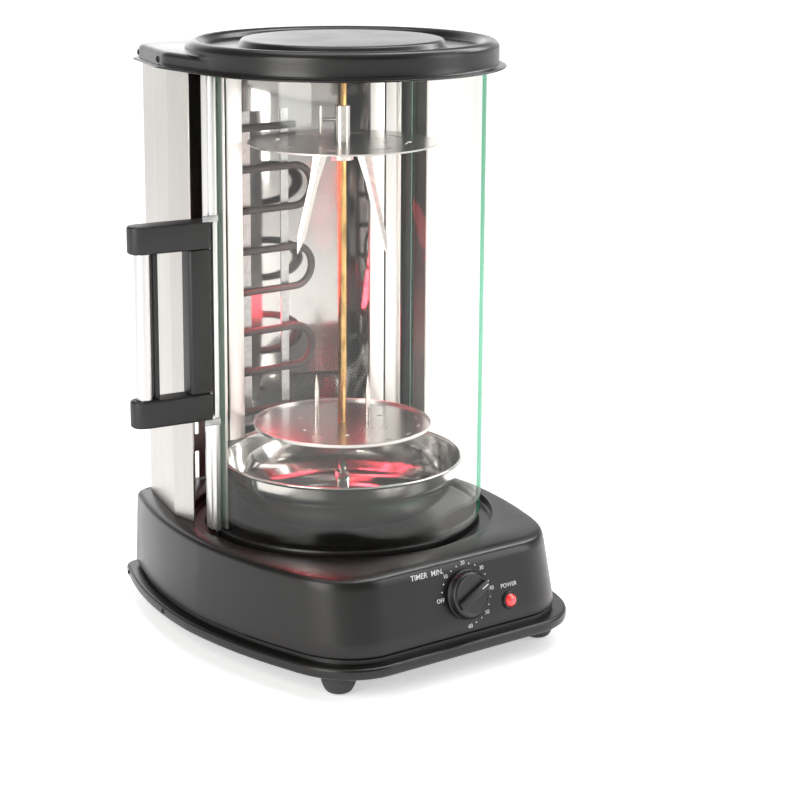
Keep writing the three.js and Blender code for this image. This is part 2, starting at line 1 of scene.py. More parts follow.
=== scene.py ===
"""Looks of an upright rotisserie oven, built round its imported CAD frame.

Each sub-assembly is a class that holds its own sizes, makes its meshes and dresses them.
Lengths are in metres, +Z is up and the front looks towards -Y.
"""

import json
import logging
import math
from dataclasses import dataclass
from enum import Enum
from typing import Any, Callable, Iterable, Sequence, Union

import bmesh
import bpy
from mathutils import Matrix, Vector

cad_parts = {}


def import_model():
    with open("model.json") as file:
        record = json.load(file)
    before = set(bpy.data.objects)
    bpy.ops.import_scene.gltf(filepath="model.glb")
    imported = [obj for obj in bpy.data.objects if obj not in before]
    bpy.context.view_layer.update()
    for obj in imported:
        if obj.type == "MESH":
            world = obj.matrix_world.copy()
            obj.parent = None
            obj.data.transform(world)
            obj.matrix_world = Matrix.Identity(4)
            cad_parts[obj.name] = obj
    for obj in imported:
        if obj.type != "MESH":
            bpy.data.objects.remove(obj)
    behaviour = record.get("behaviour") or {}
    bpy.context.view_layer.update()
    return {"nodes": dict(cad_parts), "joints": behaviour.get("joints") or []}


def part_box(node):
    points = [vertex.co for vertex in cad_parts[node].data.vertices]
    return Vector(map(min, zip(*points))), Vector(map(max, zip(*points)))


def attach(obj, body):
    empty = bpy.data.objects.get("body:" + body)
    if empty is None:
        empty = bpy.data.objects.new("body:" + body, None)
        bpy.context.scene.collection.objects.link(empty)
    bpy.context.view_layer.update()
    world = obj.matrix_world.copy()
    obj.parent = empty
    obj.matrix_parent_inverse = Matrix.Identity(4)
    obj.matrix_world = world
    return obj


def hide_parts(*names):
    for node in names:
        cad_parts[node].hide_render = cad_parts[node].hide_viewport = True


LOG = logging.getLogger("rotisserie_oven")
MM = 0.001

Point = Sequence[float]
Colour = tuple[float, float, float]


# ---------- Shader building ----------


class Expr:
    """A shader socket that can be used in arithmetic."""

    def __init__(self, book: "ShaderBook", socket: bpy.types.NodeSocket) -> None:
        """Wraps a socket.

        Args:
            book: the material's node builder.
            socket: the output to wrap.
        """
        self.book = book
        self.socket = socket

    def _math(self, operation: str, *values: "Value") -> "Expr":
        """Adds one Math node.

        Args:
            operation: the node's operation.
            values: its inputs in order.

        Returns:
            The node's value.
        """
        inputs = dict(enumerate(values))
        return self.book.add("ShaderNodeMath", {"operation": operation}, inputs)

    def __add__(self, other: "Value") -> "Expr":
        """self + other."""
        return self._math("ADD", self, other)

    __radd__ = __add__

    def __sub__(self, other: "Value") -> "Expr":
        """self - other."""
        return self._math("SUBTRACT", self, other)

    def __rsub__(self, other: "Value") -> "Expr":
        """other - self."""
        return self._math("SUBTRACT", other, self)

    def __mul__(self, other: "Value") -> "Expr":
        """self * other."""
        return self._math("MULTIPLY", self, other)

    __rmul__ = __mul__

    def __truediv__(self, other: "Value") -> "Expr":
        """self / other."""
        return self._math("DIVIDE", self, other)

    def __rtruediv__(self, other: "Value") -> "Expr":
        """other / self."""
        return self._math("DIVIDE", other, self)

    def __pow__(self, other: "Value") -> "Expr":
        """self ** other."""
        return self._math("POWER", self, other)

    def __rpow__(self, other: "Value") -> "Expr":
        """other ** self."""
        return self._math("POWER", other, self)

    def clamped(self) -> "Expr":
        """self held between 0 and 1."""
        return self._math("MINIMUM", self._math("MAXIMUM", self, 0.0), 1.0)

    def absolute(self) -> "Expr":
        """The size of self without its sign."""
        return self._math("ABSOLUTE", self)


Value = Union[float, Expr]


class ShaderBook:
    """Builds the node tree of a material or of the world."""

    def __init__(self, owner: Union[bpy.types.Material, bpy.types.World]) -> None:
        """Empties the owner's tree.

        Args:
            owner: the material or world.
        """
        owner.use_nodes = True
        self.tree = owner.node_tree
        self.tree.nodes.clear()

    def node(self, kind: str, settings: dict[str, Any] | None = None,
            inputs: dict[Any, Any] | None = None) -> bpy.types.Node:
        """Adds any node.

        Args:
            kind: the node's type.
            settings: attributes set before the inputs; "stops" fills a colour ramp.
            inputs: socket name or number to a value, an Expr or an output socket.

        Returns:
            The node.
        """
        made = self.tree.nodes.new(kind)
        for key, value in (settings or {}).items():
            if key == "stops":
                ramp = made.color_ramp
                while len(ramp.elements) < len(value):
                    ramp.elements.new(0.5)
                for element, (place, tone) in zip(ramp.elements, value):
                    element.position = place
                    element.color = (*tone, 1.0)
            else:
                setattr(made, key, value)
        for key, value in (inputs or {}).items():
            if isinstance(value, Expr):
                self.tree.links.new(value.socket, made.inputs[key])
            elif isinstance(value, bpy.types.NodeSocket):
                self.tree.links.new(value, made.inputs[key])
            else:
                made.inputs[key].default_value = value
        return made

    def add(self, kind: str, settings: dict[str, Any] | None = None,
            inputs: dict[Any, Any] | None = None, output: Any = 0) -> Expr:
        """Adds a node and wraps one of its outputs.

        Args:
            kind: the node's type.
            settings: as in node().
            inputs: as in node().
            output: the output's name or number.

        Returns:
            The wrapped output.
        """
        return Expr(self, self.node(kind, settings, inputs).outputs[output])

    def place(self, scale: Point = (1.0, 1.0, 1.0), centre: Point = (0.0, 0.0, 0.0),
            turn: float = 0.0) -> Expr:
        """Object coordinates, moved, turned about Z and scaled.

        Args:
            scale: how many pattern lengths there are to a metre, along each axis.
            centre: the point that becomes the pattern's origin.
            turn: the turn about Z, in radians.

        Returns:
            The coordinates.
        """
        coords = self.add("ShaderNodeTexCoord", output="Object")
        moved = self.add("ShaderNodeVectorMath", {"operation": "SUBTRACT"}, {0: coords, 1: tuple(centre)})
        turned = self.add("ShaderNodeMapping", {}, {"Vector": moved, "Rotation": (0.0, 0.0, turn)})
        return self.add("ShaderNodeVectorMath", {"operation": "MULTIPLY"}, {0: turned, 1: tuple(scale)})

    def noise(self, where: Expr, scale: float, detail: float = 3.0, rough: float = 0.5) -> Expr:
        """Smooth noise between 0 and 1.

        Args:
            where: the coordinates.
            scale: the noise's scale.
            detail: how many finer layers it has.
            rough: how strong they are.

        Returns:
            The noise.
        """
        inputs = {"Vector": where, "Scale": scale, "Detail": detail, "Roughness": rough}
        return self.add("ShaderNodeTexNoise", {}, inputs)

    def blend(self, factor: Value, low: Any, high: Any) -> Expr:
        """A colour between two colours.

        Args:
            factor: 0 gives low, 1 gives high.
            low: a colour or an Expr.
            high: a colour or an Expr.

        Returns:
            The colour.
        """
        ends = [(*c, 1.0) if isinstance(c, tuple) else c for c in (low, high)]
        return self.add("ShaderNodeMix", {"data_type": "RGBA"}, {0: factor, 6: ends[0], 7: ends[1]}, 2)

    def bump(self, height: Expr, strength: float, distance: float) -> Expr:
        """A bumped normal.

        Args:
            height: the height pattern.
            strength: how much of it shows.
            distance: the depth in metres.

        Returns:
            The normal.
        """
        inputs = {"Height": height, "Strength": strength, "Distance": distance}
        return self.add("ShaderNodeBump", {}, inputs)

    def principled(self, **inputs: Any) -> Expr:
        """The main shader; an underscore in a name stands for a space."""
        named = {}
        for key, value in inputs.items():
            is_tone = isinstance(value, tuple) and len(value) == 3 and "Color" in key
            named[key.replace("_", " ")] = (*value, 1.0) if is_tone else value
        return self.add("ShaderNodeBsdfPrincipled", {}, named)

    def finish(self, surface: Expr, output: str = "ShaderNodeOutputMaterial") -> None:
        """Joins the surface to the output.

        Args:
            surface: the shader.
            output: the output node's type.
        """
        self.node(output, {}, {"Surface": surface})


@dataclass(frozen=True)
class Finish:
    """What every finish has: a name, and one material made from it on first use."""

    name: str

    def build(self, book: ShaderBook) -> Expr:
        """Makes the surface shader."""
        raise NotImplementedError

    def material(self) -> bpy.types.Material:
        """The finish's material, made once."""
        known = bpy.data.materials.get(self.name)
        if known is not None:
            return known
        made = bpy.data.materials.new(self.name)
        book = ShaderBook(made)
        book.finish(self.build(book))
        return made


@dataclass(frozen=True)
class SatinPaint(Finish):
    """Baked satin paint with a fine orange peel and faint dulling."""

    tone: Colour = (0.012, 0.0112, 0.0105)
    dusty: Colour = (0.03, 0.028, 0.026)
    gloss: float = 0.34

    def build(self, book: ShaderBook) -> Expr:
        """Paint over fine noise.

        Args:
            book: the node builder.

        Returns:
            The shader.
        """
        where = book.place()
        peel = book.noise(where, 1500.0, 2.0)
        patches = book.noise(where, 14.0, 4.0, 0.6)
        specks = book.noise(where, 700.0, 1.0)
        dull = ((patches - 0.42) * 2.2).clamped()
        rough = self.gloss + dull * 0.09 + (specks - 0.5) * 0.07
        return book.principled(Base_Color=book.blend(dull * 0.35 + specks * 0.1, self.tone, self.dusty),
            Roughness=rough, Metallic=0.0, Specular_IOR_Level=0.42, Normal=book.bump(peel, 0.15, 0.00002),
        )


@dataclass(frozen=True)
class BrushedSteel(Finish):
    """Steel sheet with a straight grain along one axis."""

    tone: Colour = (0.62, 0.60, 0.575)
    shade: Colour = (0.50, 0.48, 0.455)
    grain: tuple[float, float, float] = (1.0, 1.0, 0.012)
    rough: float = 0.3

    def build(self, book: ShaderBook) -> Expr:
        """Steel over stretched noise.

        Args:
            book: the node builder.

        Returns:
            The shader.
        """
        streaks = book.noise(book.place(self.grain), 2600.0, 3.0, 0.65)
        broad = book.noise(book.place(self.grain), 160.0, 2.0)
        cloud = book.noise(book.place(), 9.0, 2.0)
        mark = ((streaks - 0.3) * 1.4 + (broad - 0.5) * 0.4).clamped()
        return book.principled(Base_Color=book.blend(mark, self.shade, self.tone),
            Roughness=self.rough + (1 - mark) * 0.12 + (cloud - 0.5) * 0.08,
            Metallic=1.0, Normal=book.bump(streaks, 0.25, 0.00004), )


@dataclass(frozen=True)
class MirrorSteel(Finish):
    """Polished sheet that is nearly a mirror, with a slight wave and wipe marks."""

    tone: Colour = (0.80, 0.785, 0.77)
    worn: Colour = (0.66, 0.64, 0.62)
    wave: float = 0.0006
    rough: float = 0.05

    def build(self, book: ShaderBook) -> Expr:
        """Polish over slow noise.

        Args:
            book: the node builder.

        Returns:
            The shader.
        """
        where = book.place()
        slow = book.noise(where, 16.0, 1.0)
        wipes = book.noise(book.place((1.0, 1.0, 0.25)), 240.0, 3.0, 0.7)
        film = ((book.noise(where, 34.0, 3.0) - 0.5) * 2.4).clamped()
        height = slow + wipes * 0.002
        return book.principled(Base_Color=book.blend(film * 0.6, self.tone, self.worn),
            Roughness=self.rough + film * 0.07 + (wipes - 0.5) * 0.04,
            Metallic=1.0, Normal=book.bump(height, 0.5, self.wave), )


@dataclass(frozen=True)
class SatinAluminium(Finish):
    """Drawn aluminium section with fine lines along its length."""

    tone: Colour = (0.86, 0.855, 0.84)
    shade: Colour = (0.74, 0.73, 0.71)

    def build(self, book: ShaderBook) -> Expr:
        """Aluminium over long draw lines.

        Args:
            book: the node builder.

        Returns:
            The shader.
        """
        lines = book.noise(book.place((1.0, 1.0, 0.004)), 1900.0, 2.0)
        cloud = book.noise(book.place(), 22.0, 3.0)
        return book.principled(Base_Color=book.blend(lines * 0.7 + cloud * 0.3, self.shade, self.tone),
            Roughness=0.27 + lines * 0.12 + (cloud - 0.5) * 0.06,
            Metallic=0.92, Normal=book.bump(lines, 0.2, 0.00003), )


@dataclass(frozen=True)
class MouldedPlastic(Finish):
    """Black moulding with a spark-eroded grain."""

    tone: Colour = (0.014, 0.0138, 0.0138)
    scuffed: Colour = (0.032, 0.031, 0.030)
    rough: float = 0.46
    grain: float = 0.00008

    def build(self, book: ShaderBook) -> Expr:
        """Plastic over cells and noise.

        Args:
            book: the node builder.

        Returns:
            The shader.
        """
        where = book.place()
        cells = book.add("ShaderNodeTexVoronoi", {"feature": "SMOOTH_F1"},
                {"Vector": where, "Scale": 2300.0, "Smoothness": 0.7}, "Distance")
        scuffs = ((book.noise(where, 45.0, 4.0, 0.65) - 0.5) * 2.6).clamped()
        return book.principled(
            Base_Color=book.blend(scuffs * 0.5 + cells * 0.25, self.tone, self.scuffed),
            Roughness=self.rough + scuffs * 0.1 + (cells - 0.4) * 0.1,
            Normal=book.bump(cells, 0.5, self.grain), )


@dataclass(frozen=True)
class FootRubber(Finish):
    """Dark grey moulded rubber with a dry bloom."""

    tone: Colour = (0.022, 0.022, 0.023)
    bloom: Colour = (0.06, 0.059, 0.058)

    def build(self, book: ShaderBook) -> Expr:
        """Rubber over patchy noise.

        Args:
            book: the node builder.

        Returns:
            The shader.
        """
        where = book.place()
        patch = book.noise(where, 120.0, 4.0, 0.6)
        pores = book.noise(where, 1700.0, 1.0)
        return book.principled(
            Base_Color=book.blend(((patch - 0.4) * 1.6).clamped(), self.tone, self.bloom),
            Roughness=0.55 + patch * 0.2, Normal=book.bump(pores, 0.4, 0.00008), )


@dataclass(frozen=True)
class HotSheath(Finish):
    """The element's dark sheath, which glows dull red underneath."""

    tone: Colour = (0.062, 0.058, 0.055)
    scale_bloom: Colour = (0.16, 0.15, 0.145)
    glow: Colour = (1.0, 0.03, 0.09)

    def build(self, book: ShaderBook) -> Expr:
        """Oxide patches with a glow on the downward side.

        Args:
            book: the node builder.

        Returns:
            The shader.
        """
        where = book.place()
        oxide = book.noise(where, 90.0, 4.0, 0.65)
        pits = book.noise(where, 1300.0, 2.0)
        normal = book.add("ShaderNodeNewGeometry", output="Normal")
        up = book.add("ShaderNodeSeparateXYZ", {}, {0: normal}, "Z")
        under = ((0.0 - up - 0.55) * 2.4).clamped()
        return book.principled(Base_Color=book.blend(oxide, self.tone, self.scale_bloom),
            Roughness=0.42 + oxide * 0.2, Metallic=0.35,
            Emission_Color=book.blend(under, (0.0, 0.0, 0.0), self.glow), Emission_Strength=2.6,
            Normal=book.bump(pits + oxide * 0.6, 0.4, 0.00012), )


@dataclass(frozen=True)
class PlatedSteel(Finish):
    """Zinc-plated steel with a crystalline bloom, or polished bar, by its tones."""

    tone: Colour = (0.56, 0.56, 0.55)
    shade: Colour = (0.38, 0.385, 0.39)
    rough: float = 0.3

    def build(self, book: ShaderBook) -> Expr:
        """Metal over cell and noise patterns.

        Args:
            book: the node builder.

        Returns:
            The shader.
        """
        where = book.place()
        bloom = book.add("ShaderNodeTexVoronoi", {}, {"Vector": where, "Scale": 260.0}, "Distance")
        fine = book.noise(where, 900.0, 3.0)
        return book.principled(
            Base_Color=book.blend((bloom * 0.7 + fine * 0.5).clamped(), self.tone, self.shade),
            Roughness=self.rough + bloom * 0.12, Metallic=1.0, Normal=book.bump(fine, 0.3, 0.00004), )


@dataclass(frozen=True)
class WarmRod(Finish):
    """Bright square bar that has taken a golden heat tint."""

    gold: Colour = (0.80, 0.52, 0.20)
    dark: Colour = (0.34, 0.20, 0.07)

    def build(self, book: ShaderBook) -> Expr:
        """Bands of tint along the bar.

        Args:
            book: the node builder.

        Returns:
            The shader.
        """
        bands = book.noise(book.place((1.0, 1.0, 0.35)), 120.0, 4.0, 0.6)
        lines = book.noise(book.place((1.0, 1.0, 0.01)), 2400.0, 2.0)
        mask = ((bands - 0.34) * 2.6).clamped()
        return book.principled(Base_Color=book.blend(mask, self.dark, self.gold),
            Roughness=0.17 + lines * 0.15, Metallic=1.0, Normal=book.bump(lines, 0.2, 0.00003), )


@dataclass(frozen=True)
class ClearPane(Finish):
    """One skin of the toughened pane, clear with a faint warm cast.

    Where the view runs along the sheet, the outer skin turns green.
    """

    clear: Colour = (0.977, 0.972, 0.96)
    green: Colour = (0.27, 0.60, 0.45)
    green_from: float = 0.74

    def build(self, book: ShaderBook) -> Expr:
        """A thin clear film with a mirror share that grows at grazing angles.

        Args:
            book: the node builder.

        Returns:
            The shader.
        """
        smears = book.noise(book.place((1.0, 1.0, 0.4)), 60.0, 3.0, 0.6)
        through = book.add("ShaderNodeBsdfTransparent", {}, {"Color": (*self.clear, 1.0)})
        tinted = book.add("ShaderNodeBsdfTransparent", {}, {"Color": (*self.green, 1.0)})
        grazing = book.add("ShaderNodeLayerWeight", {}, {"Blend": 0.5}, "Facing")
        band = ((grazing - self.green_from) * 30.0).clamped()
        body = book.add("ShaderNodeMixShader", {}, {0: band, 1: through, 2: tinted})
        shine = book.principled(Base_Color=(0.92, 0.96, 0.94), Roughness=0.02 + smears * 0.03,
                Metallic=1.0)
        share = (grazing ** 5.0) * 0.32 + 0.025 + (smears - 0.5) * 0.01
        return book.add("ShaderNodeMixShader", {}, {0: share.clamped(), 1: body, 2: shine})


@dataclass(frozen=True)
class GlassEdge(Finish):
    """The ground edge of the pane, where its green shows."""

    tone: Colour = (0.16, 0.42, 0.32)
    light: Colour = (0.46, 0.72, 0.62)

    def build(self, book: ShaderBook) -> Expr:
        """Ground glass over fine noise.

        Args:
            book: the node builder.

        Returns:
            The shader.
        """
        grind = book.noise(book.place(), 800.0, 2.0)
        return book.principled(
            Base_Color=book.blend(grind, self.tone, self.light), Roughness=0.22 + grind * 0.2,
            Coat_Weight=0.5, Normal=book.bump(grind, 0.3, 0.00005), )


@dataclass(frozen=True)
class LampLens(Finish):
    """Ruby plastic lens, lit from behind, with a few prism facets."""

    tone: Colour = (0.55, 0.008, 0.012)
    lit: Colour = (1.0, 0.045, 0.04)

    def build(self, book: ShaderBook) -> Expr:
        """Facets over a lit red.

        Args:
            book: the node builder.

        Returns:
            The shader.
        """
        facets = book.add("ShaderNodeTexVoronoi", {}, {"Vector": book.place(), "Scale": 420.0},
                "Distance")
        return book.principled(
            Base_Color=book.blend(facets, self.tone, (0.85, 0.03, 0.03)), Roughness=0.08 + facets * 0.1,
            Emission_Color=book.blend(facets, (0.22, 0.002, 0.002), self.lit), Emission_Strength=0.9,
            Coat_Weight=1.0, Normal=book.bump(facets, 0.5, 0.0005), )


@dataclass(frozen=True)
class PrintInk(Finish):
    """Pad-printed ink for the dial and its words."""

    tone: Colour = (0.80, 0.80, 0.79)
    thin: Colour = (0.42, 0.42, 0.42)

    def build(self, book: ShaderBook) -> Expr:
        """Ink with thin places.

        Args:
            book: the node builder.

        Returns:
            The shader.
        """
        wear = book.noise(book.place(), 1500.0, 3.0)
        return book.principled(
            Base_Color=book.blend(((wear - 0.35) * 3.0).clamped(), self.thin, self.tone),
            Roughness=0.5 + wear * 0.15, )


@dataclass(frozen=True)
class Nylon(Finish):
    """Natural nylon with faint flow marks."""

    tone: Colour = (0.74, 0.71, 0.64)
    flow: Colour = (0.60, 0.57, 0.50)

    def build(self, book: ShaderBook) -> Expr:
        """Nylon over soft noise.

        Args:
            book: the node builder.

        Returns:
            The shader.
        """
        marks = book.noise(book.place(), 210.0, 3.0)
        return book.principled(
            Base_Color=book.blend(marks, self.tone, self.flow), Roughness=0.4 + marks * 0.2,
            Normal=book.bump(marks, 0.3, 0.0001), )


BLACK_PAINT = SatinPaint("satin_black_paint", tone=(0.006, 0.0055, 0.005), dusty=(0.014, 0.0125, 0.011),
        gloss=0.3)
HOUSING_STEEL = BrushedSteel("brushed_housing_steel")
GRIP_STEEL = BrushedSteel("brushed_grip_steel", tone=(0.74, 0.73, 0.72), shade=(0.58, 0.57, 0.56),
        rough=0.22)
LINER_STEEL = MirrorSteel("mirror_liner_steel", tone=(0.52, 0.505, 0.50), worn=(0.40, 0.385, 0.38),
        wave=0.0010, rough=0.09)
PLATE_STEEL = MirrorSteel("polished_plate_steel", tone=(0.60, 0.59, 0.585), worn=(0.46, 0.45, 0.445),
        wave=0.0003, rough=0.24)
BOWL_STEEL = MirrorSteel("polished_bowl_steel", tone=(0.78, 0.77, 0.755), wave=0.0003, rough=0.1)
ALUMINIUM = SatinAluminium("satin_aluminium")
PLASTIC = MouldedPlastic("black_moulded_plastic", tone=(0.007, 0.007, 0.007), scuffed=(0.018, 0.0175,
    0.017))
KNOB_PLASTIC = MouldedPlastic("black_knob_plastic", tone=(0.006, 0.006, 0.006), scuffed=(0.016, 0.016,
    0.016), rough=0.34, grain=0.00004)
RUBBER = FootRubber("foot_rubber")
SHEATH = HotSheath("element_sheath")
ZINC = PlatedSteel("zinc_plated_steel")
BRIGHT_BAR = PlatedSteel("bright_steel_bar", tone=(0.78, 0.76, 0.73), shade=(0.60, 0.58, 0.55),
        rough=0.12)
BLACK_STEEL = PlatedSteel("black_screw_steel", tone=(0.05, 0.05, 0.05), shade=(0.02, 0.02, 0.02),
        rough=0.28)
ROD_METAL = WarmRod("heat_tinted_rod")
PANE_OUTER = ClearPane("door_glass_outer_skin")
PANE_INNER = ClearPane("door_glass_inner_skin", green_from=1.5)
PANE_EDGE = GlassEdge("ground_glass_edge")
LENS = LampLens("lamp_lens_red")
INK = PrintInk("dial_ink")
NYLON = Nylon("natural_nylon")


class Slot(Enum):
    """The record's material slots."""

    PAINT = "black_paint"
    PLASTIC = "black_plastic"
    RUBBER = "foot_rubber"
    BRUSHED = "brushed_steel"
    POLISHED = "polished_steel"
    ALUMINIUM = "aluminium"
    ROD = "spit_metal"
    ZINC = "zinc_steel"
    SHEATH = "element_sheath"
    NYLON = "nylon"
    GLASS = "clear_glass"
    LENS = "red_lens"


# ---------- Mesh building ----------


class Workshop:
    """Mesh making that every sub-assembly shares. Its lengths are in millimetres round the spit axis."""

    def __init__(self, axis: Vector) -> None:
        """Keeps where the spit axis stands.

        Args:
            axis: a point on the spit axis, at table height, in metres.
        """
        self.axis = axis
        self.count = 0

    def world(self, point: Point) -> Vector:
        """A point given in millimetres round the spit axis, in metres in the frame."""
        return Vector(point) * MM + self.axis

    def new_object(self, name: str, mesh: bpy.types.Mesh) -> bpy.types.Object:
        """Links a mesh to the scene.

        Args:
            name: the object's name.
            mesh: its mesh.

        Returns:
            The object.
        """
        made = bpy.data.objects.new(name, mesh)
        bpy.context.scene.collection.objects.link(made)
        return made

    def mesh_from(self, name: str, points: Iterable[Point], faces: Iterable[Sequence[int]],
            sharp_degrees: float = 32.0, bevel: float = 0.0, bevel_steps: int = 2) -> bpy.types.Object:
        """Makes an object from points and faces, cleans it and shades it.

        Args:
            name: the object's name.
            points: places in millimetres round the spit axis.
            faces: the corner numbers of each face.
            sharp_degrees: edges sharper than this stay crisp.
            bevel: a rounding for the edges sharper than 40 degrees, in millimetres.
            bevel_steps: how many faces each rounding has.

        Returns:
            The object.
        """
        mesh = bpy.data.meshes.new(name)
        mesh.from_pydata([self.world(p) for p in points], [], [list(f) for f in faces])
        made = self.new_object(name, mesh)
        self.clean(made)
        if bevel > 0.0:
            tool = made.modifiers.new("round", "BEVEL")
            tool.width = bevel * MM
            tool.segments = bevel_steps
            tool.limit_method = "ANGLE"
            tool.angle_limit = math.radians(40.0)
            self.apply(made)
        self.shade(made, sharp_degrees)
        return made

    def clean(self, made: bpy.types.Object) -> None:
        """Merges doubles and turns all faces outwards.

        Args:
            made: the object whose mesh is cleaned.
        """
        work = bmesh.new()
        work.from_mesh(made.data)
        bmesh.ops.remove_doubles(work, verts=work.verts, dist=1e-6)
        bmesh.ops.dissolve_degenerate(work, edges=work.edges, dist=1e-7)
        bmesh.ops.recalc_face_normals(work, faces=work.faces)
        work.to_mesh(made.data)
        work.free()

    def shade(self, made: bpy.types.Object, sharp_degrees: float) -> None:
        """Smooth shading that keeps edges over an angle crisp.

        Args:
            made: the object.
            sharp_degrees: the angle.
        """
        work = bmesh.new()
        work.from_mesh(made.data)
        limit = math.radians(sharp_degrees)
        for face in work.faces:
            face.smooth = True
        for edge in work.edges:
            edge.smooth = len(edge.link_faces) == 2 and edge.calc_face_angle(0.0) < limit
        work.to_mesh(made.data)
        work.free()

    def apply(self, made: bpy.types.Object) -> None:
        """Turns an object's modifiers into plain mesh.

        Args:
            made: the object.
        """
        bpy.context.view_layer.update()
        graph = bpy.context.evaluated_depsgraph_get()
        plain = bpy.data.meshes.new_from_object(made.evaluated_get(graph))
        made.modifiers.clear()
        old = made.data
        made.data = plain
        bpy.data.meshes.remove(old)

    def revolve(self, name: str, profile: Sequence[Point], segments: int = 96,
            centre: Point = (0.0, 0.0, 0.0), sharp_degrees: float = 32.0) -> bpy.types.Object:
        """A closed body of revolution about a vertical axis.

        Args:
            name: the object's name.
            profile: (radius, height) pairs; a loop is closed unless its ends are on the axis.
            segments: how many steps there are round it.
            centre: the axis' place.
            sharp_degrees: edges sharper than this stay crisp.

        Returns:
            The object.
        """
        points: list[Point] = []
        faces: list[Sequence[int]] = []
        cx, cy, cz = centre
        for radius, height in profile:
            for step in range(segments):
                angle = 2.0 * math.pi * step / segments
                points.append((cx + radius * math.cos(angle), cy + radius * math.sin(angle), cz + height))
        rows = len(profile)
        closed = profile[0][0] > 1e-6
        for row in range(rows if closed else rows - 1):
            above = (row + 1) % rows
            for step in range(segments):
                after = (step + 1) % segments
                faces.append((row * segments + step, row * segments + after,
                        above * segments + after, above * segments + step))
        return self.mesh_from(name, points, faces, sharp_degrees)

    def loft(self, name: str, rings: Sequence[Sequence[Point]],
            sharp_degrees: float = 40.0) -> bpy.types.Object:
        """A skin through rings of equal length, whose first and last ring are a single point each.

        Args:
            name: the object's name.
            rings: the rings, from one pole to the other.
            sharp_degrees: edges sharper than this stay crisp.

        Returns:
            The object.
        """
        count = len(rings[0])
        points = [p for ring in rings for p in ring]
        faces = []
        for row in range(len(rings) - 1):
            for step in range(count):
                after = (step + 1) % count
                faces.append((row * count + step, row * count + after,
                        (row + 1) * count + after, (row + 1) * count + step))
        return self.mesh_from(name, points, faces, sharp_degrees)

    def prism(self, name: str, outline: Sequence[Point], low: float, high: float,
            bevel: float = 0.4, move: Callable[[Point], Point] | None = None,
            bevel_steps: int = 2) -> bpy.types.Object:
        """An upright prism of a plan outline.

        Args:
            name: the object's name.
            outline: the plan's corners.
            low: its foot.
            high: its top.
            bevel: the rounding of its edges.
            move: a last move for every point.
            bevel_steps: how many faces each rounding has.

        Returns:
            The object.
        """
        place = move or (lambda p: p)
        count = len(outline)
        points = [place((x, y, low)) for x, y in outline] + [place((x, y, high)) for x, y in outline]
        sides = [(i, (i + 1) % count, count + (i + 1) % count, count + i) for i in range(count)]
        faces = [tuple(reversed(range(count))), tuple(range(count, 2 * count)), *sides]
        return self.mesh_from(name, points, faces, bevel=bevel, bevel_steps=bevel_steps)

    def tube(self, name: str, path: Sequence[Point], radius: Union[float, Sequence[float]],
            sides: int = 20) -> bpy.types.Object:
        """A round bar along a path, with flat ends.

        Args:
            name: the object's name.
            path: the points it follows.
            radius: one radius, or one for each point.
            sides: how many sides it has.

        Returns:
            The object.
        """
        spots = [Vector(p) for p in path]
        radii = [radius] * len(spots) if isinstance(radius, (int, float)) else list(radius)
        normal = (spots[1] - spots[0]).orthogonal().normalized()
        points: list[Point] = [spots[0]]
        for i, spot in enumerate(spots):
            before, after = spots[max(i - 1, 0)], spots[min(i + 1, len(spots) - 1)]
            along = (after - before).normalized()
            normal = (normal - along * normal.dot(along)).normalized()
            across = along.cross(normal)
            for step in range(sides):
                angle = 2.0 * math.pi * step / sides
                points.append(spot + (normal * math.cos(angle) + across * math.sin(angle)) * radii[i])
        points.append(spots[-1])
        faces: list[Sequence[int]] = []
        for step in range(sides):
            after = (step + 1) % sides
            faces.append((0, 1 + after, 1 + step))
            last = 1 + (len(spots) - 1) * sides
            faces.append((last + step, last + after, len(points) - 1))
            for i in range(len(spots) - 1):
                a, b = 1 + i * sides, 1 + (i + 1) * sides
                faces.append((a + step, a + after, b + after, b + step))
        return self.mesh_from(name, points, faces)

    def join(self, parts: Sequence[bpy.types.Object]) -> bpy.types.Object:
        """Puts several objects' meshes into the first and removes the rest.

        Args:
            parts: the objects.

        Returns:
            The first object.
        """
        work = bmesh.new()
        for part in parts:
            work.from_mesh(part.data)
        work.to_mesh(parts[0].data)
        work.free()
        for part in parts[1:]:
            bpy.data.objects.remove(part)
        return parts[0]

    def dress(self, made: bpy.types.Object, finish: Finish, body: str, slot: Slot,
            replaces: Sequence[str] = ()) -> bpy.types.Object:
        """Gives a piece its finish, its body and the CAD nodes that it stands for.

        Args:
            made: the piece.
            finish: its finish.
            body: the CAD body that it moves with.
            slot: the record's slot; not used.
            replaces: the CAD nodes that it hides.

        Returns:
            The piece.
        """
        if not made.data.materials:
            made.data.materials.append(finish.material())
        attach(made, body)
        if replaces:
            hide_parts(*replaces)
        self.count += 1
        LOG.info("%s rides on %s with %d faces", made.name, body, len(made.data.polygons))
        return made


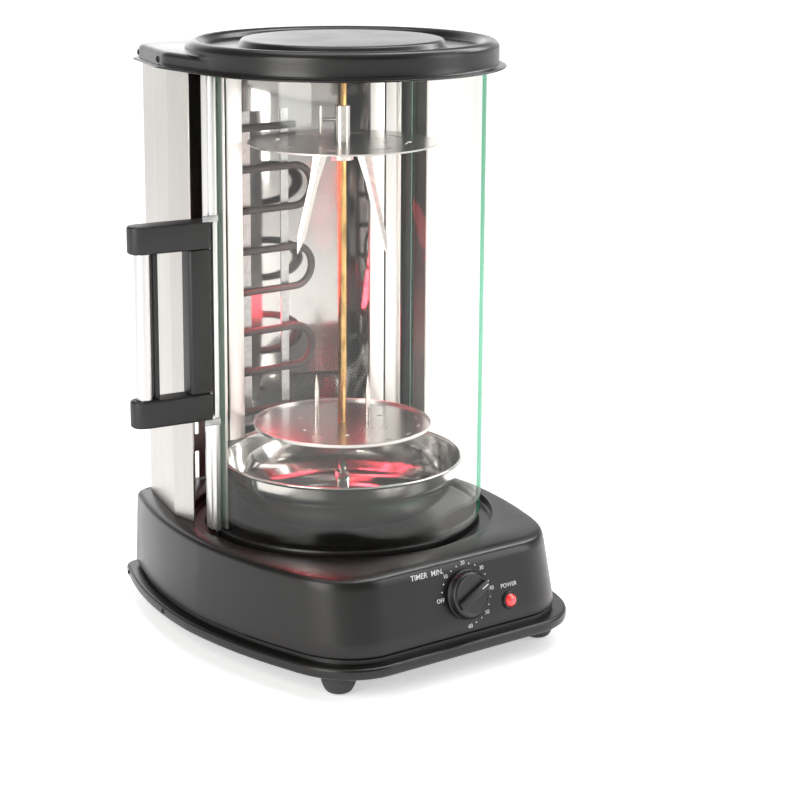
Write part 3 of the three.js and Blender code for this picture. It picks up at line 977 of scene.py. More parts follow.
def rounded(profile: Sequence[Point], radii: Union[float, Sequence[float]], steps: int = 4,
        closed: bool = False) -> list[tuple[float, float]]:
    """Rounds the corners of a line of points with small arcs.

    Args:
        profile: the points.
        radii: one radius, or one for each point.
        steps: how many pieces each arc has.
        closed: whether the line closes on itself.

    Returns:
        The new points.
    """
    count = len(profile)
    sizes = [radii] * count if isinstance(radii, (int, float)) else list(radii)
    result: list[tuple[float, float]] = []
    for i, spot in enumerate(profile):
        here = Vector((spot[0], spot[1]))
        if sizes[i] <= 0.0 or (not closed and i in (0, count - 1)):
            result.append((here.x, here.y))
            continue
        back = Vector(profile[(i - 1) % count][:2]) - here
        ahead = Vector(profile[(i + 1) % count][:2]) - here
        reach = min(sizes[i], back.length * 0.45, ahead.length * 0.45)
        start, end = here + back.normalized() * reach, here + ahead.normalized() * reach
        for step in range(steps + 1):
            t = step / steps
            spot_now = start * (1 - t) ** 2 + here * 2 * t * (1 - t) + end * t**2
            result.append((spot_now.x, spot_now.y))
    return result


def on_circle(radius: float, degrees: float) -> tuple[float, float]:
    """A plan point at a radius; 0 degrees is the front and angles grow to the right."""
    angle = math.radians(degrees)
    return radius * math.sin(angle), -radius * math.cos(angle)


def turned(point: Point, degrees: float) -> Point:
    """A point turned about the spit axis, anticlockwise from above."""
    angle = math.radians(degrees)
    x, y, z = point
    return (x * math.cos(angle) - y * math.sin(angle), x * math.sin(angle) + y * math.cos(angle), z)


def sector(inner: float, outer: float, start: float, end: float, steps: int) -> list[tuple[float, float]]:
    """Plan of a curved sheet between two radii and two angles in degrees."""
    sweep = [start + (end - start) * i / steps for i in range(steps + 1)]
    return [on_circle(outer, a) for a in sweep] + [on_circle(inner, a) for a in reversed(sweep)]


def quadratic(start: Point, pull: Point, end: Point, steps: int) -> list[tuple[float, float]]:
    """Points on a quadratic curve, without its first point."""
    spots = []
    for step in range(1, steps + 1):
        t = step / steps
        spots.append(tuple(start[k] * (1 - t) ** 2 + 2 * pull[k] * t * (1 - t) + end[k] * t * t
                           for k in (0, 1)))
    return spots


def reach_at(outline: Sequence[Point], angle: float) -> float:
    """How far a plan outline lies from the spit axis in one direction.

    Args:
        outline: the closed outline.
        angle: the direction, in radians from +X.

    Returns:
        The distance.
    """
    dx, dy = math.cos(angle), math.sin(angle)
    best = 0.0
    for i, (ax, ay) in enumerate(outline):
        bx, by = outline[(i + 1) % len(outline)]
        ex, ey = bx - ax, by - ay
        cross = dx * ey - dy * ex
        if abs(cross) < 1e-12:
            continue
        along = (ax * ey - ay * ex) / cross
        share = (ax * dy - ay * dx) / cross
        if along > 0.0 and -1e-9 <= share <= 1.0 + 1e-9:
            best = max(best, along)
    return best


# ---------- Geometry Nodes ----------


class GeometryBook:
    """Builds one Geometry Nodes tree with named inputs and turns its result into plain mesh."""

    def __init__(self, name: str) -> None:
        """Starts a tree with a geometry input and output.

        Args:
            name: the tree's name.
        """
        self.tree = bpy.data.node_groups.new(name, "GeometryNodeTree")
        self.tree.is_modifier = True
        face = self.tree.interface
        face.new_socket("Geometry", in_out="INPUT", socket_type="NodeSocketGeometry")
        face.new_socket("Geometry", in_out="OUTPUT", socket_type="NodeSocketGeometry")
        self.entry = self.tree.nodes.new("NodeGroupInput")
        self.sizes: dict[str, str] = {}
        self.values: dict[str, Any] = {}

    def size(self, name: str, value: Union[float, int]) -> bpy.types.NodeSocket:
        """Adds a named input.

        Args:
            name: the input's name.
            value: its value on the modifier; a whole number makes a count.

        Returns:
            The socket inside the tree.
        """
        kind = "NodeSocketInt" if isinstance(value, int) else "NodeSocketFloat"
        made = self.tree.interface.new_socket(name, in_out="INPUT", socket_type=kind)
        self.sizes[name] = made.identifier
        self.values[name] = value
        return next(s for s in self.entry.outputs if s.identifier == made.identifier)

    def node(self, kind: str, settings: dict[str, Any] | None = None,
            inputs: dict[Any, Any] | None = None) -> bpy.types.Node:
        """Adds any node.

        Args:
            kind: the node's type.
            settings: attributes set first.
            inputs: socket name or number to a value, a socket or a list of sockets.

        Returns:
            The node.
        """
        made = self.tree.nodes.new(kind)
        for key, value in (settings or {}).items():
            setattr(made, key, value)
        for key, value in (inputs or {}).items():
            links = value if isinstance(value, list) else [value]
            for link in links:
                if isinstance(link, bpy.types.NodeSocket):
                    self.tree.links.new(link, made.inputs[key])
                else:
                    made.inputs[key].default_value = link
        return made

    def close(self, geometry: bpy.types.NodeSocket, finish: Finish) -> None:
        """Ends the tree in Realize Instances and Set Material.

        Args:
            geometry: the geometry to show.
            finish: its finish.
        """
        self.finish = finish
        real = self.node("GeometryNodeRealizeInstances", {}, {0: geometry})
        painted = self.node("GeometryNodeSetMaterial", {}, {"Geometry": real.outputs[0],
                "Material": finish.material()})
        self.node("NodeGroupOutput", {}, {0: painted.outputs[0]})

    def make(self, shop: Workshop, name: str, base: bpy.types.Mesh | None = None,
            sharp_degrees: float = 32.0) -> bpy.types.Object:
        """Runs the tree on a carrier mesh and keeps the result as plain mesh.

        Args:
            shop: the mesh maker.
            name: the piece's name.
            base: the carrier mesh, if the tree reads one.
            sharp_degrees: edges sharper than this stay crisp.

        Returns:
            The piece.
        """
        carrier = shop.new_object(name, base or bpy.data.meshes.new(name))
        tool = carrier.modifiers.new("make", "NODES")
        tool.node_group = self.tree
        for key, identifier in self.sizes.items():
            tool[identifier] = self.values[key]
        shop.apply(carrier)
        bpy.data.node_groups.remove(self.tree)
        carrier.data.materials.clear()
        carrier.data.materials.append(self.finish.material())
        carrier.data.polygons.foreach_set("material_index", [0] * len(carrier.data.polygons))
        shop.clean(carrier)
        shop.shade(carrier, sharp_degrees)
        return carrier


def aimed_points(shop: Workshop, name: str, places: Sequence[tuple[Point, Point]]) -> bpy.types.Mesh:
    """A carrier mesh of loose points, each with a direction in its "aim" attribute.

    Args:
        shop: the mesh maker.
        name: the mesh's name.
        places: (point in millimetres, direction) pairs.

    Returns:
        The mesh.
    """
    mesh = bpy.data.meshes.new(name)
    mesh.from_pydata([shop.world(p) for p, _ in places], [], [])
    aim = mesh.attributes.new("aim", "FLOAT_VECTOR", "POINT")
    for i, (_, direction) in enumerate(places):
        aim.data[i].vector = Vector(direction).normalized()
    return mesh


class Head(Enum):
    """The small round things that are set at points."""

    SCREW = "screw"
    DOT = "dot"


def set_at_points(shop: Workshop, name: str, places: Sequence[tuple[Point, Point]], head: Head,
        radius: float, height: float, finish: Finish) -> bpy.types.Object:
    """Sets one small head at each place with Geometry Nodes.

    Args:
        shop: the mesh maker.
        name: the piece's name.
        places: (point in millimetres, direction) pairs.
        head: what is set there.
        radius: its radius in millimetres.
        height: its height in millimetres.
        finish: its finish.

    Returns:
        The piece.
    """
    book = GeometryBook(name + "_tree")
    size_r = book.size("Head radius", radius * MM)
    size_h = book.size("Head height", height * MM)
    if head is Head.SCREW:
        dome = book.node("GeometryNodeMeshUVSphere", {}, {"Segments": 20, "Rings": 10, "Radius": size_r})
        squeeze = book.node("ShaderNodeMath", {"operation": "DIVIDE"}, {0: size_h, 1: size_r})
        shape = book.node("ShaderNodeCombineXYZ", {}, {0: 1.0, 1: 1.0, 2: squeeze.outputs[0]})
        flat = book.node("GeometryNodeTransform", {}, {"Geometry": dome.outputs[0],
                "Scale": shape.outputs[0]})
        cuts = []
        for length, width in ((1.3, 0.28), (0.28, 1.3)):
            reach = book.node("ShaderNodeCombineXYZ", {}, {0: length * radius * MM,
                    1: width * radius * MM, 2: height * MM})
            bar = book.node("GeometryNodeMeshCube", {}, {"Size": reach.outputs[0]})
            raised = book.node("GeometryNodeTransform", {}, {"Geometry": bar.outputs[0],
                    "Translation": (0.0, 0.0, height * MM)})
            cuts.append(raised.outputs[0])
        whole = book.node("GeometryNodeMeshBoolean", {"operation": "UNION"}, {"Mesh 2": cuts})
        cut = book.node("GeometryNodeMeshBoolean", {"operation": "DIFFERENCE"},
                {"Mesh 1": flat.outputs[0], "Mesh 2": whole.outputs[0]})
        shape_out = cut.outputs[0]
    else:
        disc = book.node("GeometryNodeMeshCylinder", {}, {"Vertices": 20, "Radius": size_r,
                "Depth": size_h})
        shape_out = disc.outputs[0]
    aim = book.node("GeometryNodeInputNamedAttribute", {"data_type": "FLOAT_VECTOR"}, {"Name": "aim"})
    turn = book.node("FunctionNodeAlignRotationToVector", {"axis": "Z"}, {"Vector": aim.outputs[0]})
    spots = book.node("GeometryNodeMeshToPoints", {}, {"Mesh": book.entry.outputs[0]})
    placed = book.node("GeometryNodeInstanceOnPoints", {}, {
        "Points": spots.outputs[0], "Instance": shape_out, "Rotation": turn.outputs[0]})
    book.close(placed.outputs[0], finish)
    return book.make(shop, name, aimed_points(shop, name + "_places", places))


@dataclass
class PiercedDisc:
    """A round sheet with rings of slots and holes, made by one Geometry Nodes tree."""

    radius: float
    thickness: float
    height: float
    slot_count: int
    slot_ring: float
    slot_size: tuple[float, float]
    hole_count: int
    hole_ring: float
    hole_radius: float
    bore: float

    def make(self, shop: Workshop, name: str, finish: Finish) -> bpy.types.Object:
        """Builds the disc.

        Args:
            shop: the mesh maker.
            name: the piece's name.
            finish: its finish.

        Returns:
            The piece.
        """
        book = GeometryBook(name + "_tree")
        radius = book.size("Disc radius", self.radius * MM)
        thickness = book.size("Sheet thickness", self.thickness * MM)
        slots = book.size("Slot count", self.slot_count)
        holes = book.size("Hole count", self.hole_count)
        sheet = book.node("GeometryNodeMeshCylinder", {}, {
            "Vertices": 128, "Radius": radius, "Depth": thickness, "Side Segments": 1})
        cutters = []
        for count, ring, kind in ((slots, self.slot_ring, "slot"), (holes, self.hole_ring, "hole")):
            if kind == "slot":
                size = (self.slot_size[0] * MM, self.slot_size[1] * MM, self.thickness * 4 * MM)
                cutter = book.node("GeometryNodeMeshCube", {}, {"Size": size})
            else:
                cutter = book.node("GeometryNodeMeshCylinder", {}, {
                    "Vertices": 12, "Radius": self.hole_radius * MM, "Depth": self.thickness * 4 * MM})
            circle = book.node("GeometryNodeMeshCircle", {}, {"Vertices": count, "Radius": ring * MM})
            where = book.node("GeometryNodeInputPosition")
            turn = book.node("FunctionNodeAlignRotationToVector", {"axis": "X"},
                    {"Vector": where.outputs[0]})
            set_out = book.node("GeometryNodeInstanceOnPoints", {}, {
                "Points": circle.outputs[0], "Instance": cutter.outputs[0], "Rotation": turn.outputs[0]})
            real = book.node("GeometryNodeRealizeInstances", {}, {0: set_out.outputs[0]})
            cutters.append(real.outputs[0])
        middle = book.node("GeometryNodeMeshCylinder", {}, {
            "Vertices": 40, "Radius": self.bore * MM, "Depth": self.thickness * 4 * MM})
        cutters.append(middle.outputs[0])
        cut = book.node("GeometryNodeMeshBoolean", {"operation": "DIFFERENCE"},
                {"Mesh 1": sheet.outputs[0], "Mesh 2": cutters})
        centre = shop.world((0.0, 0.0, self.height + self.thickness / 2))
        moved = book.node("GeometryNodeTransform", {}, {"Geometry": cut.outputs[0],
                "Translation": tuple(centre)})
        book.close(moved.outputs[0], finish)
        return book.make(shop, name)


# ---------- Sub-assemblies ----------

TURNS = 224  # points round each lofted plan
DECK = 95.0
LID_FOOT = 478.8
UNDER_LID = LID_FOOT + 8.4  # top of the housing, inside the lid
LINER_TOP = LID_FOOT - 2.0


@dataclass
class Base:
    """Painted base: its rolled tray, its bowed shell with the panel, its ring groove and its feet."""

    side: float = 158.3
    front: float = 184.6
    rear: float = 155.0
    foot_height: float = 18.5
    rim_top: float = 28.0
    body_foot: float = 31.3
    groove: tuple[float, float] = (118.0, 130.0)
    groove_depth: float = 8.0
    panel_degrees: float = 13.0
    shift: tuple[float, float] = (-4.0, 3.0)

    def plan(self, side: float, front: float, rear: float) -> list[tuple[float, float]]:
        """The base's plan outline with its sides, front and rear moved in.

        Args:
            side: how far the sides come in.
            front: how far the front comes in.
            rear: how far the rear comes in.

        Returns:
            The closed outline.
        """
        sx, sf, sr = 1 - side / self.side, 1 - front / self.front, 1 - rear / self.rear
        curves = [((127, -178.5), (139, -126)), ((156, -70), (self.side, -8)), ((157.5, 70), (127, 142)),
                ((124.5, self.rear), (112, self.rear))]
        right: list[tuple[float, float]] = [(84.0, -183.6)]
        for pull, end in curves:
            right.extend(quadratic(right[-1], pull, end, 24))
        left = [(-x, y) for x, y in reversed(right)]
        dx, dy = self.shift
        return [(x * sx + dx, y * (sf if y < 0 else sr) + dy) for x, y in right + left]

    def ring(self, z: float, side: float, front: float, rear: float) -> list[Point]:
        """One loft ring of the plan at a height."""
        outline = self.plan(side, front, rear)
        ring = []
        for step in range(TURNS):
            angle = 2.0 * math.pi * step / TURNS
            reach = reach_at(outline, angle)
            ring.append((reach * math.cos(angle), reach * math.sin(angle), z))
        return ring

    def circle(self, radius: float, z: float) -> list[Point]:
        """One loft ring that is a circle round the spit axis."""
        turn = [2.0 * math.pi * step / TURNS for step in range(TURNS)]
        return [(radius * math.cos(a), radius * math.sin(a), z) for a in turn]

    def panel_inset(self, z: float) -> float:
        """How far the control panel has come in at a height."""
        return 10.0 + (z - 34.0) * math.tan(math.radians(self.panel_degrees))

    def build_shell(self, shop: Workshop) -> bpy.types.Object:
        """The painted shell with its deck and ring groove.

        Args:
            shop: the mesh maker.

        Returns:
            The piece.
        """
        foot = self.body_foot
        rings = [self.circle(0.0, foot + 6), self.ring(foot + 6, 13, 14, 10), self.ring(foot, 12.5, 13.5,
            9.5), self.ring(foot, 10.0, 11.0, 6.5), self.ring(foot + 0.8, 9.2, 10.3, 5.4),
                self.ring(foot + 2.2, 9.1, self.panel_inset(foot + 2.2), 5.0)]
        for z in (45.0, 55.0, 65.0, 72.0):
            rings.append(self.ring(z, 9.0 + (z - 34.0) * 0.07, self.panel_inset(z),
                    4.9 - (z - 34) * 0.025))
        shoulder = rounded([(self.panel_inset(72.0), 72.0), (self.panel_inset(86.0), 86.0), (24.4, 90.6),
                (30.6, 93.3), (47.4, DECK)], [0, 4.0, 3.0, 5.0, 0], 4)
        for in_front, z in shoulder[1:]:
            crown = max(0.0, (z - 90.2) / 4.8)
            in_side = 11.7 + (z - 72.0) * 0.07 + 4.6 * (1 - math.sqrt(max(0.0, 1 - crown**2)))
            rings.append(self.ring(z, in_side, in_front,
                    3.9 + 2.5 * (1 - math.sqrt(max(0.0, 1 - crown**2)))))
        inner, outer = self.groove
        low = DECK - self.groove_depth
        rings.append([(x * 0.5 + cx * 0.5, y * 0.5 + cy * 0.5, DECK - 0.1) for (x, y, _), (cx, cy, _)
                in zip(rings[-1], self.circle(outer + 1.4, DECK))])
        edge = [(outer + 1.2, DECK - 0.15), (outer + 0.4, DECK - 0.5), (outer, DECK - 1.4), (outer,
            low + 1.2), (outer - 1.2, low), (inner + 1.2, low), (inner, low + 1.2), (inner, DECK - 1.2),
                (inner - 0.35, DECK - 0.35), (inner - 1.2, DECK), (inner - 3.5, DECK), (inner - 5.0,
                DECK - 0.9),
                (90.0, DECK - 0.9), (40.0, DECK - 0.9), (9.0, DECK - 0.9), (4.8, DECK - 1.2), (0.0,
                DECK - 1.2)]
        rings.extend(self.circle(radius, z) for radius, z in edge)
        shell = shop.loft("base_body", rings)
        return shop.dress(shell, BLACK_PAINT, "oven", Slot.PAINT, ["base_shell"])

    def build_tray(self, shop: Workshop) -> bpy.types.Object:
        """The bottom tray with its rolled rim and the recessed step above it.

        Args:
            shop: the mesh maker.

        Returns:
            The piece.
        """
        foot, top = self.foot_height, self.rim_top
        rows = [(foot, 60), (foot, 3.2), (foot + 0.4, 1.4), (foot + 1.4, 0.3), (foot + 2.4, 0.0),
                (top - 2.2, 0.0),
                (top - 1.0, 0.35), (top - 0.25, 1.3), (top, 2.6), (top, 10.5), (self.body_foot - 0.3,
                11.0), (self.body_foot - 0.3, 60)]
        rings = [self.circle(0.0, foot)] + [self.ring(z, i, i, i) for z, i in rows]
        rings.append(self.circle(0.0, self.body_foot - 0.3))
        return shop.dress(shop.loft("base_tray", rings), BLACK_PAINT, "oven", Slot.PAINT, ["bottom_tray"])

    def build_feet(self, shop: Workshop) -> None:
        """Four domed rubber feet.

        Args:
            shop: the mesh maker.
        """
        for name in ("front_left", "front_right", "rear_left", "rear_right"):
            node = "foot_" + name
            low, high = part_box(node)
            centre = ((low + high) / 2 - shop.axis) / MM
            top = self.foot_height - 0.3
            profile = rounded([(0.0, 0.0), (6.0, 0.0), (10.5, 1.8), (13.4, 7.5), (14.5, 12.0), (14.5,
                top), (0.0, top)], [0, 2.0, 3.0, 4.0, 3.0, 0.5, 0], 5)
            foot = shop.revolve(node + "_dome", profile, 48, (centre.x, centre.y, 0.0))
            shop.dress(foot, RUBBER, "oven", Slot.RUBBER, [node])

    def build(self, shop: Workshop) -> None:
        """Builds the base.

        Args:
            shop: the mesh maker.
        """
        self.build_shell(shop)
        self.build_tray(shop)
        self.build_feet(shop)
        gland = shop.join([shop.tube("cord_gland_body", [(-70, 143, 52), (-70, 154.8, 52)], 5.0, 32),
            shop.tube("gland_flange", [(-70, 154.2, 52), (-70, 155.6, 52), (-70, 157, 52)], [8.0, 8.0,
                6.4], 32), ])
        shop.dress(gland, PLASTIC, "oven", Slot.PLASTIC, ["cord_gland"])
        outline = self.plan(0.0, 0.0, 0.0)
        places = []
        for degrees in (-104.0, 104.0, -137.0, 137.0):
            angle = math.radians(degrees - 90.0)
            reach = reach_at(outline, angle) - 0.2
            aim = (math.cos(angle), math.sin(angle), 0.0)
            places.append(((reach * aim[0], reach * aim[1], 23.4), aim))
        screws = set_at_points(shop, "tray_rim_screws", places, Head.SCREW, 2.4, 1.3, BLACK_STEEL)
        shop.dress(screws, BLACK_STEEL, "oven", Slot.ZINC)


@dataclass
class Panel:
    """Timer knob, its printed dial, the power lamp and their words."""

    base: Base
    knob: tuple[float, float] = (5.5, 62.9)
    lamp: tuple[float, float] = (49.2, 49.7)
    knob_radius: float = 20.5
    dial_radius: float = 25.1
    off_degrees: float = 180.0
    step_degrees: float = 15.0
    pointer_degrees: float = 25.0
    letter: float = 4.6

    def spin(self) -> Matrix:
        """The turn that stands a piece drawn flat up on the panel."""
        return Matrix.Rotation(math.radians(90.0 - self.base.panel_degrees), 4, "X")

    def normal(self) -> Vector:
        """The direction the panel faces."""
        tilt = math.radians(self.base.panel_degrees)
        return Vector((0.0, -math.cos(tilt), math.sin(tilt)))

    def spot(self, centre: tuple[float, float], right: float = 0.0, up: float = 0.0,
            out: float = 0.0) -> Vector:
        """A point by its distances right, up and out from a point on the panel.

        Args:
            centre: (x, z) of a point on the panel.
            right: the distance to the right.
            up: the distance up the slope.
            out: the distance out from the face.

        Returns:
            The point in millimetres round the spit axis.
        """
        y = self.base.shift[1] - (self.base.front - self.base.panel_inset(centre[1])) * (183.6 / 184.6)
        start = Vector((centre[0], y, centre[1]))
        return start + Vector((right, 0, 0)) + self.up() * up + self.normal() * out

    def turned(self, name: str, centre: tuple[float, float], profile: Sequence[Point],
            segments: int = 72) -> bpy.types.Object:
        """A round piece that stands out from the panel.

        Args:
            name: the object's name.
            centre: (x, z) of its centre on the panel.
            profile: (radius, distance out) pairs, starting and ending on the axis or closed.
            segments: how many steps there are round it.

        Returns:
            The object.
        """
        return self.set_down(self.shop.revolve(name, profile, segments), centre, self.spin())

    def set_down(self, flat: bpy.types.Object, centre: tuple[float, float],
            spin: Matrix) -> bpy.types.Object:
        """Moves a piece drawn round the spit axis onto the panel."""
        to_panel = Matrix.Translation(self.shop.world(self.spot(centre))) @ spin
        flat.data.transform(to_panel @ Matrix.Translation(-self.shop.axis))
        return flat

    def build_knob(self) -> None:
        """The round knob with its raised pointer fin and ribbed side."""
        radius = self.knob_radius
        body = self.turned("timer_knob_body", self.knob, rounded(
            [(0.0, 0.6), (radius, 0.6), (radius, 2.2), (radius - 0.6, 2.6), (radius - 2.2, 7.7),
             (radius - 4.0, 9.0),
             (radius - 5.4, 8.6), (0.0, 8.6)], [0, 0.4, 0.5, 0.4, 1.2, 1.0, 0.5, 0], 4))
        half = 3.4
        edge = radius - 3.7
        reach = math.sqrt(edge**2 - half**2)
        arc = math.atan2(half, reach)
        outline = [(edge * math.cos(a), edge * math.sin(a)) for a in
                [arc - 2 * arc * i / 6 for i in range(7)]]
        outline += [(-x, y) for x, y in reversed(outline)]
        fin = self.shop.prism("knob_fin", list(reversed(outline)), 7.8, 12.5, bevel=0.9, bevel_steps=3)
        aim = self.spin() @ Matrix.Rotation(math.radians(self.pointer_degrees), 4, "Z")
        self.set_down(fin, self.knob, aim)
        ribs = []
        for step in range(56):
            angle = 2 * math.pi * step / 56
            outward = Vector((math.cos(angle), 0, 0)) + self.up() * math.sin(angle)
            foot = self.spot(self.knob, out=5.1) + outward * (radius - 1.6)
            ribs.append((tuple(foot), tuple(outward)))
        grip = self.knurl(ribs)
        knob = self.shop.join([body, fin, grip])
        self.shop.dress(knob, KNOB_PLASTIC, "timer_knob", Slot.PLASTIC, ["timer_knob"])
        mark = self.shop.prism("knob_pointer_line", [(8.5, -0.45), (15.6, -0.45), (15.6, 0.45),
                (8.5, 0.45)], 12.46, 12.54, bevel=0.0)
        self.set_down(mark, self.knob, aim)
        self.shop.dress(mark, INK, "timer_knob", Slot.PLASTIC)

    def up(self) -> Vector:
        """The direction up the panel's slope."""
        tilt = math.radians(self.base.panel_degrees)
        return Vector((0.0, math.sin(tilt), math.cos(tilt)))

    def knurl(self, places: Sequence[tuple[Point, Point]]) -> bpy.types.Object:
        """Fine ribs round the knob's side, set with Geometry Nodes.

        Args:
            places: (point, direction) pairs of the ribs.

        Returns:
            The ribs.
        """
        book = GeometryBook("knob_rib_tree")
        long = book.size("Rib length", 4.6 * MM)
        wide = book.size("Rib width", 0.8 * MM)
        size = book.node("ShaderNodeCombineXYZ", {}, {0: wide, 1: long, 2: wide})
        rib = book.node("GeometryNodeMeshCube", {}, {"Size": size.outputs[0]})
        aim = book.node("GeometryNodeInputNamedAttribute", {"data_type": "FLOAT_VECTOR"}, {"Name": "aim"})
        along = book.node("FunctionNodeAlignRotationToVector", {"axis": "Y"},
                {"Vector": tuple(self.normal())})
        turn = book.node("FunctionNodeAlignRotationToVector", {"axis": "Z", "pivot_axis": "Y"},
                {"Rotation": along.outputs[0], "Vector": aim.outputs[0]})
        spots = book.node("GeometryNodeMeshToPoints", {}, {"Mesh": book.entry.outputs[0]})
        placed = book.node("GeometryNodeInstanceOnPoints", {}, {
            "Points": spots.outputs[0], "Instance": rib.outputs[0], "Rotation": turn.outputs[0]})
        book.close(placed.outputs[0], KNOB_PLASTIC)
        return book.make(self.shop, "knob_ribs", aimed_points(self.shop, "knob_rib_places", places))

    def words(self, name: str, text: str, centre: tuple[float, float], right: float, up: float,
            size: float, width: float = 0.0) -> bpy.types.Object:
        """Printed words on the panel.

        Args:
            name: the object's name.
            text: the words.
            centre: (x, z) of a point on the panel.
            right: the middle of the words, to the right of that point.
            up: the middle of the words, above that point.
            size: the letters' size in millimetres.
            width: the width that the words are brought to, or 0 to leave it.

        Returns:
            The piece.
        """
        curve = bpy.data.curves.new(name, "FONT")
        curve.body = text
        curve.size = size * MM
        curve.align_x = "CENTER"
        curve.align_y = "CENTER"
        curve.extrude = 0.03 * MM
        curve.offset = 0.04 * MM
        holder = self.shop.new_object(name + "_text", curve)
        bpy.context.view_layer.update()
        graph = bpy.context.evaluated_depsgraph_get()
        mesh = bpy.data.meshes.new_from_object(holder.evaluated_get(graph))
        bpy.data.objects.remove(holder)
        if width > 0.0:
            ends = [v.co.x for v in mesh.vertices]
            mesh.transform(Matrix.Scale(width * MM / (max(ends) - min(ends)), 4))
        made = self.shop.new_object(name, mesh)
        made.data.transform(Matrix.Translation(self.shop.world(self.spot(centre, right, up,
            0.08))) @ self.spin())
        made.data.materials.clear()
        return made

    def build_dial(self) -> None:
        """Numbers and dots round the knob and the words beside it."""
        print_parts = []
        dots = []
        for step in range(19):
            angle = math.radians(self.off_degrees - self.step_degrees * step)
            right, up = self.dial_radius * math.cos(angle), self.dial_radius * math.sin(angle)
            if step % 3 == 0:
                label = "OFF" if step == 0 else str(step * 10 // 3)
                print_parts.append(self.words("dial_" + label.lower(), label, self.knob, right * 1.06,
                        up * 1.04, self.letter))
            else:
                dots.append((tuple(self.spot(self.knob, right, up, 0.06)), tuple(self.normal())))
        print_parts.append(self.words("word_timer", "TIMER  MIN.", self.knob, -36.9, 23.2, self.letter,
                33.2))
        print_parts.append(self.words("word_power", "POWER", self.lamp, 1.0, 12.5, self.letter, 16.8))
        marks = self.shop.join(print_parts)
        marks.name = "dial_print"
        self.shop.dress(marks, INK, "oven", Slot.PAINT)
        spots = set_at_points(self.shop, "dial_dots", dots, Head.DOT, 0.62, 0.06, INK)
        self.shop.dress(spots, INK, "oven", Slot.PAINT)

    def build_lamp(self) -> None:
        """The domed red lens in its thin black bezel."""
        bezel = self.turned("lamp_bezel_ring", self.lamp, rounded(
            [(5.6, 0.3), (7.6, 0.3), (7.2, 1.6), (6.3, 2.0), (5.6, 2.0)], 0.35, 3, closed=True), 48)
        self.shop.dress(bezel, PLASTIC, "oven", Slot.PLASTIC, ["lamp_bezel"])
        dome = [(5.1 * math.cos(a), 2.2 + 1.8 * math.sin(a)) for a in [math.pi / 2 * i / 8 for i in range(8)]]
        lens = self.turned("lamp_lens_dome", self.lamp, [(0.0, -8.9), (5.1, -8.9), *dome, (0.0, 4.0)], 48)
        self.shop.dress(lens, LENS, "oven", Slot.LENS, ["lamp_lens"])

    def build(self, shop: Workshop) -> None:
        """Builds the panel's pieces.

        Args:
            shop: the mesh maker.
        """
        self.shop = shop
        self.build_knob()
        self.build_dial()
        self.build_lamp()


